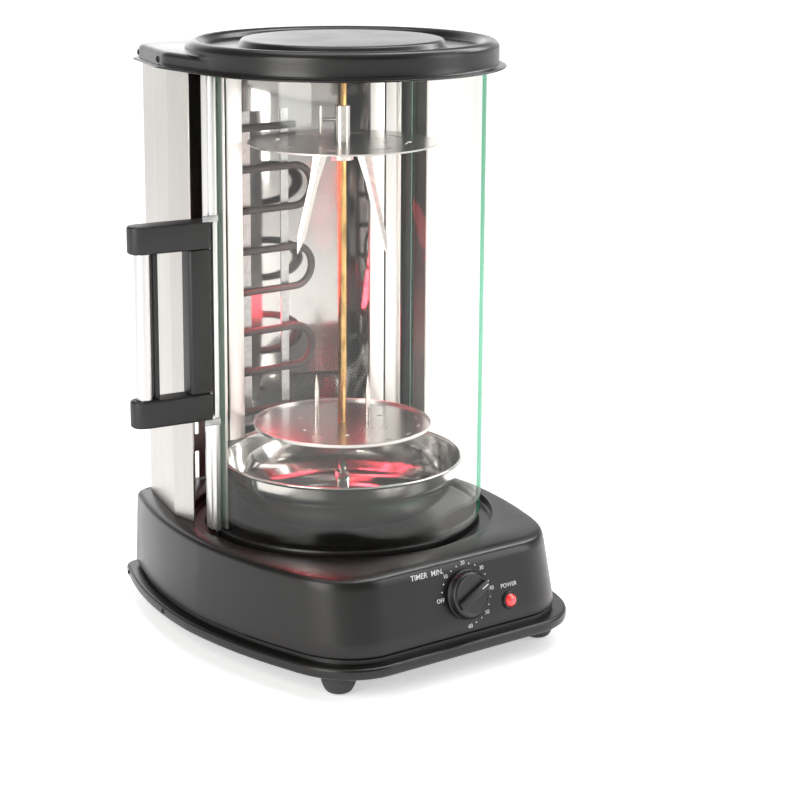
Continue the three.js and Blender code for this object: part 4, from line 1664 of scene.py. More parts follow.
@dataclass
class RearHousing:
    """Bent steel housing with its cooling slots, the slot liner, the reflector and the strips."""

    sheet: float = 1.5
    liner_radius: float = 112.0
    recess_half: float = 68.0
    strip_depth: float = 50.0
    strip_foot: float = 158.0

    def corners(self) -> list[tuple[float, float]]:
        """The housing's bend line in plan, from its left front edge to its right one."""
        right = [(100.0, 149.5), (106.5, 145.0), (128.0, 69.0), (125.0, 42.5)]
        return [(-x, y) for x, y in reversed(right)] + right

    def build_shell(self, shop: Workshop) -> None:
        """The bent sheet with cooling slots cut in its back by Geometry Nodes.

        Args:
            shop: the mesh maker.
        """
        line = rounded(self.corners(), [0, 1.6, 3.2, 3.2, 3.2, 3.2, 1.6, 0], 4)
        inner = []
        for i, (x, y) in enumerate(line):
            ax, ay = line[max(i - 1, 0)]
            bx, by = line[min(i + 1, len(line) - 1)]
            along = Vector((bx - ax, by - ay)).normalized()
            inner.append((x + along.y * self.sheet, y - along.x * self.sheet))
        outline = list(reversed(line + list(reversed(inner))))
        blank = shop.prism("housing_blank", outline, DECK + 0.3, UNDER_LID, bevel=0.0)
        book = GeometryBook("cooling_slot_tree")
        columns = book.size("Slots across", 13)
        rows = book.size("Slot rows", 3)
        width = book.size("Slot width", 4.0 * MM)
        height = book.size("Slot height", 26.0 * MM)
        grid = book.node("GeometryNodeMeshGrid", {}, {
            "Size X": 132 * MM, "Size Y": 84 * MM, "Vertices X": columns, "Vertices Y": rows})
        centre = shop.world((0.0, 148.8, 150.0))
        upright = book.node("GeometryNodeTransform", {}, {
            "Geometry": grid.outputs[0], "Translation": tuple(centre), "Rotation": (math.pi / 2, 0.0,
                0.0)})
        size = book.node("ShaderNodeCombineXYZ", {}, {0: width, 1: 8 * MM, 2: height})
        cutter = book.node("GeometryNodeMeshCube", {}, {"Size": size.outputs[0]})
        placed = book.node("GeometryNodeInstanceOnPoints", {}, {
            "Points": upright.outputs[0], "Instance": cutter.outputs[0]})
        real = book.node("GeometryNodeRealizeInstances", {}, {0: placed.outputs[0]})
        cut = book.node("GeometryNodeMeshBoolean", {"operation": "DIFFERENCE"},
                {"Mesh 1": book.entry.outputs[0], "Mesh 2": real.outputs[0]})
        book.close(cut.outputs[0], HOUSING_STEEL)
        shell = book.make(shop, "housing_shell", blank.data.copy())
        bpy.data.objects.remove(blank)
        shop.dress(shell, HOUSING_STEEL, "oven", Slot.BRUSHED, ["rear_housing"])

    def build_liner(self, shop: Workshop) -> None:
        """The curved slot liner and the mirror recess inside it.

        Args:
            shop: the mesh maker.
        """
        low, high = DECK + 0.3, LINER_TOP
        liner = shop.prism("slot_liner_sheet", sector(self.liner_radius, self.liner_radius + 1, 117.8,
                242.2, 72), low, high, bevel=0.2)
        shop.dress(liner, LINER_STEEL, "oven", Slot.POLISHED, ["slot_liner"])
        radius = self.liner_radius - 1.3
        swing = math.degrees(math.asin(self.recess_half / radius))
        back = shop.prism("recess_back", sector(radius, radius + 0.9, 180 - swing, 180 + swing, 56), low,
                high, bevel=0.2)
        parts = [back]
        depth = math.sqrt(radius**2 - self.recess_half**2)
        for side in (-1, 1):
            wall = [(side * self.recess_half, self.strip_depth + 1.8), (side * self.recess_half,
                depth + 0.6), (side * (self.recess_half - 0.9), depth + 0.6),
                    (side * (self.recess_half - 0.9), self.strip_depth + 1.8)]
            parts.append(shop.prism("recess_wall", wall, self.strip_foot, high, bevel=0.2))
        recess = shop.join(parts)
        recess.name = "mirror_recess"
        shop.dress(recess, LINER_STEEL, "oven", Slot.POLISHED, ["reflector"])

    def build_strips(self, shop: Workshop) -> None:
        """Four drawn strips beside the recess; the two outer ones have a rolled edge.

        Args:
            shop: the mesh maker.
        """
        low, high = self.strip_foot, LINER_TOP
        front = self.strip_depth
        for name, side in (("left", -1), ("right", 1)):
            inner = [(67.1, front + 1.5), (67.1, front), (80.9, front), (82.5, front), (82.5,
                front + 1.5)]
            outer = [(84.2, front + 1.5), (84.2, front), (97.3, front), (97.3, front - 3.0), (98.5,
                front - 3.0), (98.5, front + 1.5)]
            for kind, outline in (("inner", inner), ("outer", outer)):
                placed = [(side * x, y) for x, y in outline]
                strip = shop.prism(f"{kind}_strip_{name}_drawn", placed, low, high, bevel=0.35)
                shop.dress(strip, ALUMINIUM, "oven", Slot.ALUMINIUM, [f"{kind}_strip_{name}"])

    def build(self, shop: Workshop) -> None:
        """Builds the housing.

        Args:
            shop: the mesh maker.
        """
        self.build_shell(shop)
        self.build_liner(shop)
        self.build_strips(shop)


@dataclass
class HeatingElement:
    """One sheathed tube bent into level runs, swept along its path with Geometry Nodes."""

    runs: int = 8
    pitch: float = 36.0
    lowest: float = 168.0
    depth: float = 88.0
    left: float = -60.0
    right: float = 30.0
    radius: float = 3.25

    def path(self) -> list[Point]:
        """The tube's centre line, from the lowest run to the highest."""
        turn = self.pitch / 2
        spots: list[Point] = []
        for run in range(self.runs):
            z = self.lowest + run * self.pitch
            rightward = run % 2 == 1
            start, end = (self.left + turn, self.right - turn) if rightward else (self.right - turn,
                self.left + turn)
            spots.extend([(start, self.depth, z), (end, self.depth, z)])
            if run < self.runs - 1:
                side = 1 if rightward else -1
                for step in range(1, 16):
                    angle = -math.pi / 2 + math.pi * step / 16
                    spots.append((end + side * turn * math.cos(angle), self.depth,
                            z + turn * (1 + math.sin(angle))))
        return spots

    def build(self, shop: Workshop) -> None:
        """Sweeps the sheath along the path and dresses it.

        Args:
            shop: the mesh maker.
        """
        spots = self.path()
        line = bpy.data.meshes.new("element_path")
        line.from_pydata([shop.world(p) for p in spots], [(i, i + 1) for i in range(len(spots) - 1)], [])
        book = GeometryBook("element_tree")
        radius = book.size("Sheath radius", self.radius * MM)
        sides = book.size("Sides", 20)
        curve = book.node("GeometryNodeMeshToCurve", {}, {0: book.entry.outputs[0]})
        section = book.node("GeometryNodeCurvePrimitiveCircle", {}, {"Resolution": sides,
            "Radius": radius})
        swept = book.node("GeometryNodeCurveToMesh", {}, {
            "Curve": curve.outputs[0], "Profile Curve": section.outputs[0], "Fill Caps": True})
        book.close(swept.outputs[0], SHEATH)
        shop.dress(book.make(shop, "element_sheath_tube", line), SHEATH, "oven", Slot.SHEATH,
                ["heating_element"])


@dataclass
class Lid:
    """Pressed lid: a flared lip, a squared rear, a raised ring and a raised round middle."""

    wall: float = 130.0
    lip: float = 136.0
    ridge_top: float = 501.8
    deck: float = 492.0

    def plan(self, radius: float, rear: float, corner: float) -> list[tuple[float, float]]:
        """The lid's plan: a round front that runs back into two long sides.

        Args:
            radius: the round front's radius.
            rear: how far back the rear edge is.
            corner: the size of the rear corners.

        Returns:
            The closed outline.
        """
        k = radius / 130.0
        right: list[tuple[float, float]] = [(radius, 0.0)]
        right.extend(quadratic(right[-1], (131.2 * k, 40.0), (130.8 * k, 70.0), 8))
        right.append((111.5 * k, rear - corner))
        right.extend(quadratic(right[-1], (109.5 * k, rear), ((109.5 - corner) * k, rear), 10))
        left = [(-x, y) for x, y in reversed(right)]
        steps = 120
        arc = [math.pi + math.pi * i / steps for i in range(1, steps)]
        return right + left + [(radius * math.cos(a), radius * math.sin(a)) for a in arc]

    def build_cover(self, shop: Workshop) -> None:
        """The pressed cover as one skin.

        Args:
            shop: the mesh maker.
        """
        lip = self.plan(self.lip, 157.0, 19.0)
        wall = self.plan(self.wall, 153.0, 15.0)
        turns = [2.0 * math.pi * i / TURNS for i in range(TURNS)]
        lip_reach = [reach_at(lip, a) for a in turns]
        wall_reach = [reach_at(wall, a) for a in turns]
        extra = [max(0.0, r - self.wall) for r in wall_reach]

        def ring(reach: Callable[[int], float], z: float) -> list[Point]:
            """One ring whose distance is given by the step number."""
            return [(reach(i) * math.cos(a), reach(i) * math.sin(a), z) for i, a in enumerate(turns)]

        rings = [ring(lambda i: 0.0, 489.0), ring(lambda i: wall_reach[i] - 2.4, 489.0),
                ring(lambda i: wall_reach[i] - 2.4, 479.6), ring(lambda i: wall_reach[i] - 1.6, LID_FOOT),
                ring(lambda i: lip_reach[i] - 0.6, LID_FOOT), ring(lambda i: lip_reach[i],
                LID_FOOT + 0.5),
                ring(lambda i: lip_reach[i] - 0.1, LID_FOOT + 1.1), ring(lambda i: lip_reach[i] - 0.9,
                LID_FOOT + 1.6),
                ring(lambda i: wall_reach[i] + 2.0, LID_FOOT + 2.0), ring(lambda i: wall_reach[i] + 0.5,
                LID_FOOT + 2.8),
                ring(lambda i: wall_reach[i], LID_FOOT + 4.4), ring(lambda i: wall_reach[i],
                self.deck - 4.6)]
        for step in range(1, 6):
            turn = math.pi / 2 * step / 5
            drop = 4.5 * (1 - math.cos(turn))
            rings.append(ring(lambda i, d=drop: wall_reach[i] - min(extra[i], d),
                    self.deck - 4.6 + 4.6 * math.sin(turn)))
        rings.append(ring(lambda i: self.wall + min(extra[i], 3.0), self.deck + 0.1))
        rings.append(ring(lambda i: self.wall + min(extra[i], 1.0), self.deck + 0.7))
        top = rounded([(130.0, 493.6), (130.0, 496.6), (127.2, 500.6), (122.6, self.ridge_top), (118.4,
            500.4), (115.2, 495.6), (112.0, 494.6), (92.0, 494.6), (87.6, 495.4), (83.8, 501.0),
                (81.6, self.ridge_top), (40.0, self.ridge_top), (0.0, self.ridge_top)],
                [0, 2.5, 3.0, 3.0, 3.0, 2.6, 2.0, 2.0, 2.4, 2.0, 1.5, 0, 0], 4)
        rings.extend(ring(lambda i, r=radius: r, z) for radius, z in top)
        cover = shop.loft("lid_cover", rings, 50.0)
        shop.dress(cover, BLACK_PAINT, "oven", Slot.PAINT, ["lid"])

    def build_screws(self, shop: Workshop) -> None:
        """Screws in the lid's rear sides and in its raised middle.

        Args:
            shop: the mesh maker.
        """
        wall = self.plan(self.wall, 153.0, 15.0)
        side = []
        for degrees in (124.0, 144.0, 168.0):
            for sign in (-1, 1):
                angle = math.radians(sign * degrees - 90.0)
                reach = reach_at(wall, angle)
                ahead, behind = reach_at(wall, angle + 0.02), reach_at(wall, angle - 0.02)
                run = Vector((ahead * math.cos(angle + 0.02) - behind * math.cos(angle - 0.02),
                        ahead * math.sin(angle + 0.02) - behind * math.sin(angle - 0.02), 0))
                aim = Vector((run.y, -run.x, 0)).normalized()
                side.append(((reach * math.cos(angle) - aim.x * 0.2,
                        reach * math.sin(angle) - aim.y * 0.2, 484.6), tuple(aim)))
        screws = set_at_points(shop, "lid_side_screws", side, Head.SCREW, 3.0, 1.7, BLACK_STEEL)
        shop.dress(screws, BLACK_STEEL, "oven", Slot.ZINC)
        middle = [((13.0 * math.cos(math.radians(a)), 13.0 * math.sin(math.radians(a)),
                self.ridge_top - 0.75), (0.0, 0.0, 1.0)) for a in (100.0, 220.0, 340.0)]
        small = set_at_points(shop, "lid_middle_screws", middle, Head.SCREW, 2.1, 0.7, BLACK_STEEL)
        shop.dress(small, BLACK_STEEL, "oven", Slot.ZINC)

    def build(self, shop: Workshop) -> None:
        """Builds the lid.

        Args:
            shop: the mesh maker.
        """
        self.build_cover(shop)
        self.build_screws(shop)
        ceiling = shop.revolve("ceiling_sheet", [(7.5, 477.3), (111.0, 477.3), (111.0, 478.5),
                (7.5, 478.5)], 128)
        shop.dress(ceiling, LINER_STEEL, "oven", Slot.POLISHED, ["ceiling_plate"])
        bush = rounded([(4.3, 466.0), (8.5, 466.0), (8.5, 476.9), (6.9, 477.0), (6.9, 482.0), (4.3,
            482.0)], 0.5, 3, closed=True)
        shop.dress(shop.revolve("bearing_bush", bush, 48), NYLON, "oven", Slot.NYLON, ["top_bearing"])


@dataclass
class Door:
    """The curved pane with its edge profile, tail profile, guides and standing handle."""

    radius: float = 120.0
    thickness: float = 4.0
    edge_degrees: float = 97.0
    tail_degrees: float = 113.0
    foot: float = 100.5
    top: float = 486.0
    arm_low: float = 193.0
    arm_high: float = 360.0
    arm_height: float = 23.0
    grip_at: float = 184.0
    grip_radius: float = 6.75

    def at_edge(self, point: Point) -> Point:
        """Turns a point drawn with the edge at the left to where the edge is."""
        return turned(point, 90.0 - self.edge_degrees)

    def at_tail(self, point: Point) -> Point:
        """Turns a point drawn with the tail at the right to where the tail is."""
        return turned(point, self.tail_degrees - 90.0)

    def build_pane(self, shop: Workshop) -> None:
        """The curved pane, whose upright end faces take the ground-edge finish.

        Args:
            shop: the mesh maker.
        """
        outline = sector(self.radius - self.thickness, self.radius, -(self.edge_degrees + 0.8),
                self.tail_degrees, 160)
        pane = shop.prism("door_pane", outline, self.foot, self.top, bevel=0.35, bevel_steps=1)
        for finish in (PANE_OUTER, PANE_INNER, PANE_EDGE):
            pane.data.materials.append(finish.material())
        middle = self.radius - self.thickness / 2
        for face in pane.data.polygons:
            spot = (face.center - shop.axis) / MM
            reach = math.hypot(spot.x, spot.y)
            is_end = abs(face.normal.z) < 0.2 and abs(reach - middle) < self.thickness * 0.46
            is_outer = abs(face.normal.z) < 0.2 and reach > middle
            face.material_index = 2 if is_end else (0 if is_outer else 1)
        shop.dress(pane, PANE_OUTER, "door", Slot.GLASS, ["door_glass"])

    def build_profiles(self, shop: Workshop) -> None:
        """The drawn edge profile, its guides and the tail profile.

        Args:
            shop: the mesh maker.
        """
        section = [(113.2, -8.0), (120.4, -8.0), (120.4, -7.3), (121.4, -7.3), (121.4, -8.0), (126.2,
            -8.0), (126.2, 2.0), (124.2, 2.0), (124.2, 7.5), (120.5, 7.5), (120.5, -2.4), (115.1, -2.4),
                (115.1, 7.5), (113.2, 7.5)]
        outline = [(-out, -ahead) for out, ahead in section]
        edge = shop.prism("edge_profile", outline, DECK + 1.2, self.top + 0.6, bevel=0.3,
                move=self.at_edge)
        shop.dress(edge, ALUMINIUM, "door", Slot.ALUMINIUM, ["door_frame_profile"])
        shoe = shop.prism("guide_shoe", [(-115.6, 8.0), (-124.0, 8.0), (-124.0, 2.8), (-115.6, 2.8)],
                DECK + 0.2, DECK + 0.9, bevel=0.1, move=self.at_edge)
        pins = [shop.tube("guide_pin", [self.at_edge((-x, y, DECK - 6.5)),
                self.at_edge((-x, y, DECK + 1.0))], 1.4, 20)
                for x, y in ((121.2, 5.4), (121.2, -1.2))]
        shop.dress(shop.join([shoe, *pins]), BRIGHT_BAR, "door", Slot.NYLON, ["door_lower_guide"])
        tail = [(114.2, -2.2), (114.2, 7.0), (121.8, 7.0), (121.8, -2.2), (120.4, -2.2), (120.4, 4.0),
                (115.5, 4.0), (115.5, -2.2)]
        rear = shop.prism("tail_profile", tail, DECK + 1.2, self.top - 0.6, bevel=0.25, move=self.at_tail)
        pin = shop.tube("tail_pin", [self.at_tail((120.3, 5.5, DECK - 6.5)),
                self.at_tail((120.3, 5.5, DECK + 2))], 1.4, 16)
        shop.dress(shop.join([rear, pin]), BLACK_STEEL, "door", Slot.ALUMINIUM, ["door_tail_profile"])

    def build_handle(self, shop: Workshop) -> None:
        """Two rounded arms, the back plate, the grip and the fixing tabs.

        Args:
            shop: the mesh maker.
        """
        reach = 196.0
        nose = [(-126.8, -10.0), (-184.0, -10.0)]
        nose += quadratic(nose[-1], (-reach, -9.6), (-reach, 0.0), 12)
        nose += [(x, -y) for x, y in reversed(nose[:-1])]
        for name, low in (("upper", self.arm_high - self.arm_height), ("lower", self.arm_low)):
            arm = shop.prism(f"handle_arm_{name}", list(reversed(nose)), low, low + self.arm_height,
                    bevel=2.2, move=self.at_edge, bevel_steps=5)
            shop.dress(arm, PLASTIC, "door", Slot.PLASTIC, [f"handle_{name}_arm"])
        low, high = self.arm_low + self.arm_height + 0.3, self.arm_high - self.arm_height - 0.3
        plate_plan = [(-126.8, 8.5), (-144.0, 8.5), (-146.0, 6.5), (-146.0, -6.5), (-144.0, -8.5),
                (-126.8, -8.5)]
        plate = shop.prism("handle_backing", plate_plan, low, high, bevel=0.8, move=self.at_edge,
                bevel_steps=3)
        shop.dress(plate, PLASTIC, "door", Slot.PLASTIC, ["handle_back_plate"])
        core_plan = [(-172.4, 5.0), (-176.4, 5.0), (-176.4, -5.0), (-172.4, -5.0)]
        core = shop.prism("grip_backing", core_plan, low, high, bevel=0.8, move=self.at_edge,
                bevel_steps=3)
        shop.dress(core, PLASTIC, "door", Slot.PLASTIC, ["handle_grip_core"])
        grip = shop.tube("grip_tube", [self.at_edge((-self.grip_at, 0, z)) for z in (low, low + 0.01,
            high - 0.01, high)], [self.grip_radius - 0.2, self.grip_radius, self.grip_radius,
                self.grip_radius - 0.2], 64)
        shop.dress(grip, GRIP_STEEL, "door", Slot.BRUSHED, ["handle_grip_tube"])
        tabs = []
        for z0, z1 in ((self.arm_high - 1.0, self.arm_high + 4.5), (self.arm_low - 4.5,
            self.arm_low + 1.0)):
            plan = [(-120.0, -8.2), (-134.0, -8.2), (-134.0, -9.2), (-120.0, -9.2)]
            tabs.append(shop.prism("tab", plan, z0, z1, bevel=0.2, move=self.at_edge))
        made = shop.join(tabs)
        made.name = "handle_fixing_tabs"
        shop.dress(made, ZINC, "door", Slot.BRUSHED)

    def build(self, shop: Workshop) -> None:
        """Builds the door.

        Args:
            shop: the mesh maker.
        """
        self.build_pane(shop)
        self.build_profiles(shop)
        self.build_handle(shop)


@dataclass
class Spit:
    """Drive shaft, lower plate, spikes, square rod, and the clamp with its disc, prongs and screw."""

    plate_height: float = 170.4
    plate_radius: float = 76.5
    rod: float = 5.2
    disc_height: float = 414.0
    disc_radius: float = 79.5
    screw_height: float = 434.0
    screw_turn: float = -28.0
    prong_turn: float = -36.0
    prong_lean: float = 13.0
    prong_foot: float = 16.0

    def build_drive(self, shop: Workshop) -> None:
        """The drive shaft, the lower plate with its rim and slots, the spikes and the rod.

        Args:
            shop: the mesh maker.
        """
        top = self.plate_height - 0.3
        shaft = shop.revolve("drive_spindle", rounded(
            [(0.0, 77.0), (3.2, 77.0), (3.2, 158.0), (4.6, 161.0), (8.0, 164.0), (8.0, top), (0.0, top)],
            [0, 0.4, 1.5, 1.5, 0.8, 0.2, 0], 3), 48)
        shop.dress(shaft, BRIGHT_BAR, "spit", Slot.ZINC, ["drive_shaft"])
        sheet = PiercedDisc(self.plate_radius - 1.0, 1.4, self.plate_height, 16, 66.0, (1.8, 7.0), 6,
                40.0, 2.4, 0.5)
        plate = sheet.make(shop, "lower_plate_sheet", PLATE_STEEL)
        rim = shop.revolve("lower_plate_rim", rounded(
            [(self.plate_radius - 1.2, self.plate_height), (self.plate_radius, self.plate_height + 0.4),
             (self.plate_radius, self.plate_height + 3.4), (self.plate_radius - 1.2,
                self.plate_height + 3.4)], 0.4, 3, closed=True), 128)
        rim.data.materials.append(PLATE_STEEL.material())
        shop.dress(shop.join([plate, rim]), PLATE_STEEL, "spit", Slot.POLISHED, ["lower_plate"])
        for number, side in ((1, 1), (2, -1)):
            low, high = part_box(f"lower_spike_{number}")
            x, y, _ = ((low + high) / 2 - shop.axis) / MM
            foot = self.plate_height + 1.7
            spike = shop.tube(f"plate_spike_{number}", [(x, y, foot), (x, y, foot + 28),
                    (x, y, foot + 36), (x, y, foot + 42.3)], [2.2, 2.2, 1.3, 0.25], 24)
            shop.dress(spike, BRIGHT_BAR, "spit", Slot.POLISHED, [f"lower_spike_{number}"])
        half = self.rod / 2
        square = [(-half, -half), (half, -half), (half, half), (-half, half)]
        rod = shop.prism("square_rod", square, self.plate_height + 1.7, 470.0, bevel=0.35)
        pivot = shop.tube("rod_pivot", [(0, 0, 469.5), (0, 0, 474), (0, 0, 475)], [2.5, 2.5, 1.6], 24)
        shop.dress(shop.join([rod, pivot]), ROD_METAL, "spit", Slot.ROD, ["spit_rod"])

    def build_clamp(self, shop: Workshop) -> None:
        """The clamp hub, the upper disc and the two folded prongs.

        Args:
            shop: the mesh maker.
        """
        hub = shop.revolve("clamp_sleeve", rounded(
            [(4.0, 400.0), (9.4, 400.0), (9.4, 405.2), (6.5, 405.7), (6.5, 446.0), (4.0, 446.0)],
            [0.3, 0.9, 0.7, 0.3, 0.6, 0.4], 4, closed=True), 72)
        shop.dress(hub, BRIGHT_BAR, "meat_clamp", Slot.POLISHED, ["clamp_hub"])
        sheet = PiercedDisc(self.disc_radius, 1.4, self.disc_height, 8, 56.0, (3.6, 19.0), 8, 36.0, 1.9,
                6.8)
        disc = sheet.make(shop, "upper_disc_sheet", PLATE_STEEL)
        shop.dress(disc, PLATE_STEEL, "meat_clamp", Slot.POLISHED, ["upper_disc"])
        for name, side in (("left", -1), ("right", 1)):
            shop.dress(self.prong(shop, name, side), BRIGHT_BAR, "meat_clamp", Slot.POLISHED,
                    [f"prong_{name}"])

    def prong(self, shop: Workshop, name: str, side: int) -> bpy.types.Object:
        """One folded prong, splayed outwards and pointed.

        Args:
            shop: the mesh maker.
            name: left or right.
            side: -1 or 1.

        Returns:
            The piece.
        """
        top = self.disc_height - 0.4
        lean = math.tan(math.radians(self.prong_lean))
        points: list[Point] = []
        rows = [(0.0, 6.0), (12.0, 5.7), (33.0, 3.9), (56.0, 3.7), (78.0, 3.5), (86.0, 2.2), (94.0, 0.15)]
        for drop, half in rows:
            fold = min(1.0, half / 3.9) * 1.3
            for x, y in ((-half, fold - 1.1), (0.0, -1.1), (half, fold - 1.1), (half, fold - 0.1), (0.0,
                -0.1), (-half, fold - 0.1)):
                points.append(turned((side * (self.prong_foot + drop * lean) + x, y, top - drop),
                        self.prong_turn))
        faces: list[Sequence[int]] = [tuple(range(6)), tuple(range(len(points) - 6, len(points)))]
        for row in range(len(rows) - 1):
            for k in range(6):
                faces.append((row * 6 + k, row * 6 + (k + 1) % 6, (row + 1) * 6 + (k + 1) % 6,
                        (row + 1) * 6 + k))
        return shop.mesh_from(f"folded_prong_{name}", points, faces, 25.0)

    def build_screw(self, shop: Workshop) -> None:
        """The clamp screw, a stub with a bent wire to turn it by.

        Args:
            shop: the mesh maker.
        """
        def aim(out: float, z: float) -> Point:
            """A point out along the screw's axis."""
            return turned((-out, 0.0, z), self.screw_turn)

        height = self.screw_height
        stub = shop.tube("clamp_screw_wire",
                [aim(out, height) for out in (4.4, 8.0, 12.0, 16.0, 17.6, 18.0)],
                [1.55, 1.6, 1.6, 1.6, 1.5, 1.1], 20)
        bend = [aim(18.0, z) for z in (421.9, 424.0, 430.0, 436.0, 442.0, 445.6)]
        wing = shop.tube("screw_wing", bend, [1.1, 1.5, 1.5, 1.5, 1.5, 1.0], 20)
        shop.dress(shop.join([stub, wing]), BRIGHT_BAR, "clamp_screw", Slot.ZINC, ["clamp_screw"])

    def build(self, shop: Workshop) -> None:
        """Builds the spit.

        Args:
            shop: the mesh maker.
        """
        self.build_drive(shop)
        self.build_clamp(shop)
        self.build_screw(shop)


@dataclass
class DripBowl:
    """Spun bowl with a rolled rim and a raised tube in its middle."""

    rim_radius: float = 105.0
    rim_height: float = 145.3
    foot: float = DECK + 0.3

    def build(self, shop: Workshop) -> None:
        """Spins the bowl from one rounded profile.

        Args:
            shop: the mesh maker.
        """
        f = self.foot
        profile = [(4.9, f), (58.0, f), (66.0, f + 1.6), (79.0, f + 7.4), (92.5, f + 19.5), (99.0,
            f + 33.0), (101.6, f + 47.0), (104.4, f + 48.2), (self.rim_radius, f + 49.2), (104.2,
                self.rim_height),
                (102.0, self.rim_height - 0.2), (100.2, f + 47.8), (97.6, f + 33.6), (91.4, f + 20.8),
                (78.0, f + 8.8), (65.4, f + 3.0), (57.6, f + 1.3), (10.0, f + 1.3), (7.0,
                f + 4.0), (6.2, f + 20.0), (6.0, 129.0), (4.9, 129.0)]
        radii = [0.0, 4.0, 5.0, 6.0, 6.0, 6.0, 1.0, 0.5, 0.5, 0.5, 0.8, 1.5, 6.0, 6.0, 6.0, 5.0, 3.0, 2.0,
                2.0, 4.0, 0.4, 0.3]
        bowl = shop.revolve("spun_bowl", rounded(profile, radii, 5, closed=True), 128, sharp_degrees=50.0)
        shop.dress(bowl, BOWL_STEEL, "drip_bowl", Slot.POLISHED, ["drip_bowl"])


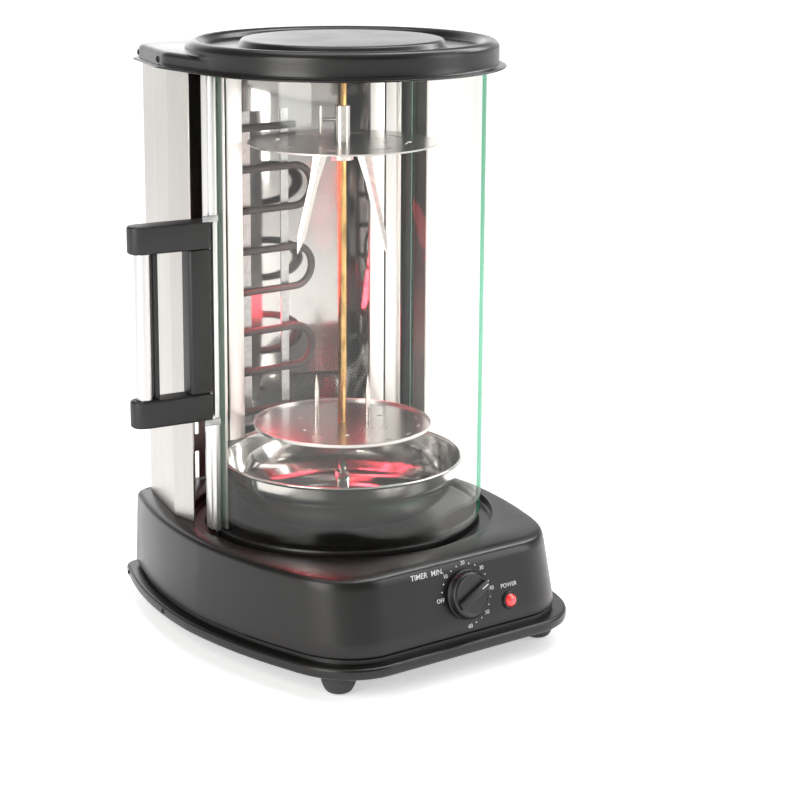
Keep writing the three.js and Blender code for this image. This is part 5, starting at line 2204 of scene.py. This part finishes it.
@dataclass
class Studio:
    """Camera, lights, floor and world."""

    azimuth: float = 36.0
    distance: float = 1751.0
    height: float = 655.0
    pitch: float = 12.498
    lens: float = 94.8
    shift: tuple[float, float] = (0.07225, -0.1065)

    def build_camera(self, shop: Workshop) -> None:
        """The camera, level with its horizon.

        Args:
            shop: the mesh maker.
        """
        data = bpy.data.cameras.new("camera")
        data.lens = self.lens
        data.sensor_width = 36.0
        data.shift_x, data.shift_y = self.shift
        data.clip_start, data.clip_end = 0.05, 50.0
        camera = bpy.data.objects.new("camera", data)
        bpy.context.scene.collection.objects.link(camera)
        a, p = math.radians(self.azimuth), math.radians(self.pitch)
        ahead = Vector((math.sin(a) * math.cos(p), math.cos(a) * math.cos(p), -math.sin(p)))
        right = Vector((math.cos(a), -math.sin(a), 0.0))
        up = right.cross(ahead)
        place = shop.world((-self.distance * math.sin(a), -self.distance * math.cos(a), self.height))
        basis = Matrix((right, up, -ahead)).transposed().to_4x4()
        camera.matrix_world = Matrix.Translation(place) @ basis
        bpy.context.scene.camera = camera

    def softbox(self, name: str, place: Point, target: Point, size: tuple[float, float], power: float,
            colour: Colour = (1.0, 1.0, 1.0)) -> None:
        """One rectangular light aimed at a point.

        Args:
            name: the light's name.
            place: its place in metres.
            target: what it looks at.
            size: its width and height in metres.
            power: its power in watts.
            colour: its colour.
        """
        data = bpy.data.lights.new(name, "AREA")
        data.shape = "RECTANGLE"
        data.size, data.size_y = size
        data.energy = power
        data.color = colour
        lamp = bpy.data.objects.new(name, data)
        bpy.context.scene.collection.objects.link(lamp)
        lamp.location = place
        lamp.rotation_mode = "QUATERNION"
        lamp.rotation_quaternion = (Vector(target) - Vector(place)).to_track_quat("-Z", "Y")

    def build(self, shop: Workshop) -> None:
        """Builds the studio.

        Args:
            shop: the mesh maker.
        """
        self.build_camera(shop)
        middle = (0.0, 0.0, 0.25)
        self.softbox("left_softbox", (-1.6, -0.5, 0.9), middle, (0.9, 1.5), 26.0, (1.0, 0.985, 0.96))
        self.softbox("right_softbox", (1.3, -1.3, 1.0), middle, (0.7, 1.4), 14.0)
        self.softbox("top_softbox", (0.1, 0.2, 1.9), middle, (1.4, 1.1), 16.0)
        self.softbox("back_softbox", (0.4, 1.7, 0.9), middle, (1.2, 1.2), 6.0)
        self.softbox("shoulder_softbox", (1.1, 0.0, 1.6), (0.0, -0.1, 0.06), (0.3, 1.6), 20.0)
        self.softbox("lid_softbox", (1.03, 1.42, 0.80), (0.0, 0.0, 0.5), (1.6, 0.35), 3.0)
        self.softbox("element_glow", tuple(shop.world((-15, 80, 290))), tuple(shop.world((-15, 0, 250))),
                (0.08, 0.24), 0.5, (1.0, 0.06, 0.10))
        world = bpy.data.worlds.new("studio")
        bpy.context.scene.world = world
        sky = ShaderBook(world)
        aim = sky.add("ShaderNodeTexCoord", output="Generated")
        height = sky.add("ShaderNodeSeparateXYZ", {}, {0: aim}, "Z").absolute()
        tones = [(0.0, (0.95, 0.95, 0.95)), (0.10, (0.95, 0.95, 0.95)), (0.3, (0.2, 0.2, 0.205)),
                (1.0, (0.12, 0.12, 0.125))]
        tone = sky.add("ShaderNodeValToRGB", {"stops": tones}, {0: height})
        sky.finish(sky.add("ShaderNodeBackground", {}, {"Color": tone, "Strength": 1.0}),
                "ShaderNodeOutputWorld")
        mesh = bpy.data.meshes.new("studio_floor")
        reach = 14.0
        corners = [(-reach, -reach), (reach, -reach), (reach, reach), (-reach, reach)]
        mesh.from_pydata([(x, y, -0.0004) for x, y in corners], [], [(0, 1, 2, 3)])
        floor = shop.new_object("studio_floor", mesh)
        paper = bpy.data.materials.new("pale_floor")
        book = ShaderBook(paper)
        where = book.place()
        tone = book.blend(book.noise(where, 3.0, 2.0), (0.90, 0.90, 0.90), (0.93, 0.93, 0.93))
        away = book.add("ShaderNodeVectorMath", {"operation": "LENGTH"}, {0: where}, "Value")
        glow = book.blend(((away - 0.7) * 0.6).clamped(), (0.48, 0.48, 0.48), (1.0, 1.0, 1.0))
        book.finish(book.principled(Base_Color=tone, Roughness=0.9, Specular_IOR_Level=0.1,
                Emission_Color=glow, Emission_Strength=1.0))
        mesh.materials.append(paper)
        bpy.context.scene.view_settings.view_transform = "Standard"


class CarriedOver:
    """CAD nodes whose shape is right and which only need a finish."""

    FINISHES: dict[str, Finish] = {
        "drive_motor": ZINC, "motor_gearbox": ZINC, "timer_body": NYLON, "timer_spindle": ZINC,
        "bearing_bridge": ZINC, "element_bracket_left": ZINC, "element_bracket_right": ZINC, }

    def build(self, nodes: dict[str, bpy.types.Object]) -> None:
        """Gives each node its finish.

        Args:
            nodes: the frame's nodes by name.
        """
        for name, finish in self.FINISHES.items():
            nodes[name].data.materials.clear()
            nodes[name].data.materials.append(finish.material())
            LOG.info("%s keeps its shape and takes %s", name, finish.name)


def main() -> None:
    """Builds every sub-assembly in order."""
    logging.basicConfig(level=logging.INFO, format="%(name)s: %(message)s")
    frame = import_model()
    spit = next(joint for joint in frame["joints"] if joint["name"] == "spit_turns")
    shop = Workshop(Vector((spit["pos_m"][0], spit["pos_m"][1], 0.0)))
    base = Base()
    for part in (base, Panel(base), RearHousing(), HeatingElement(), Lid(), Door(), Spit(), DripBowl(),
            Studio()):
        part.build(shop)
    CarriedOver().build(frame["nodes"])
    LOG.info("%d pieces made", shop.count)


if __name__ == "__main__":
    main()
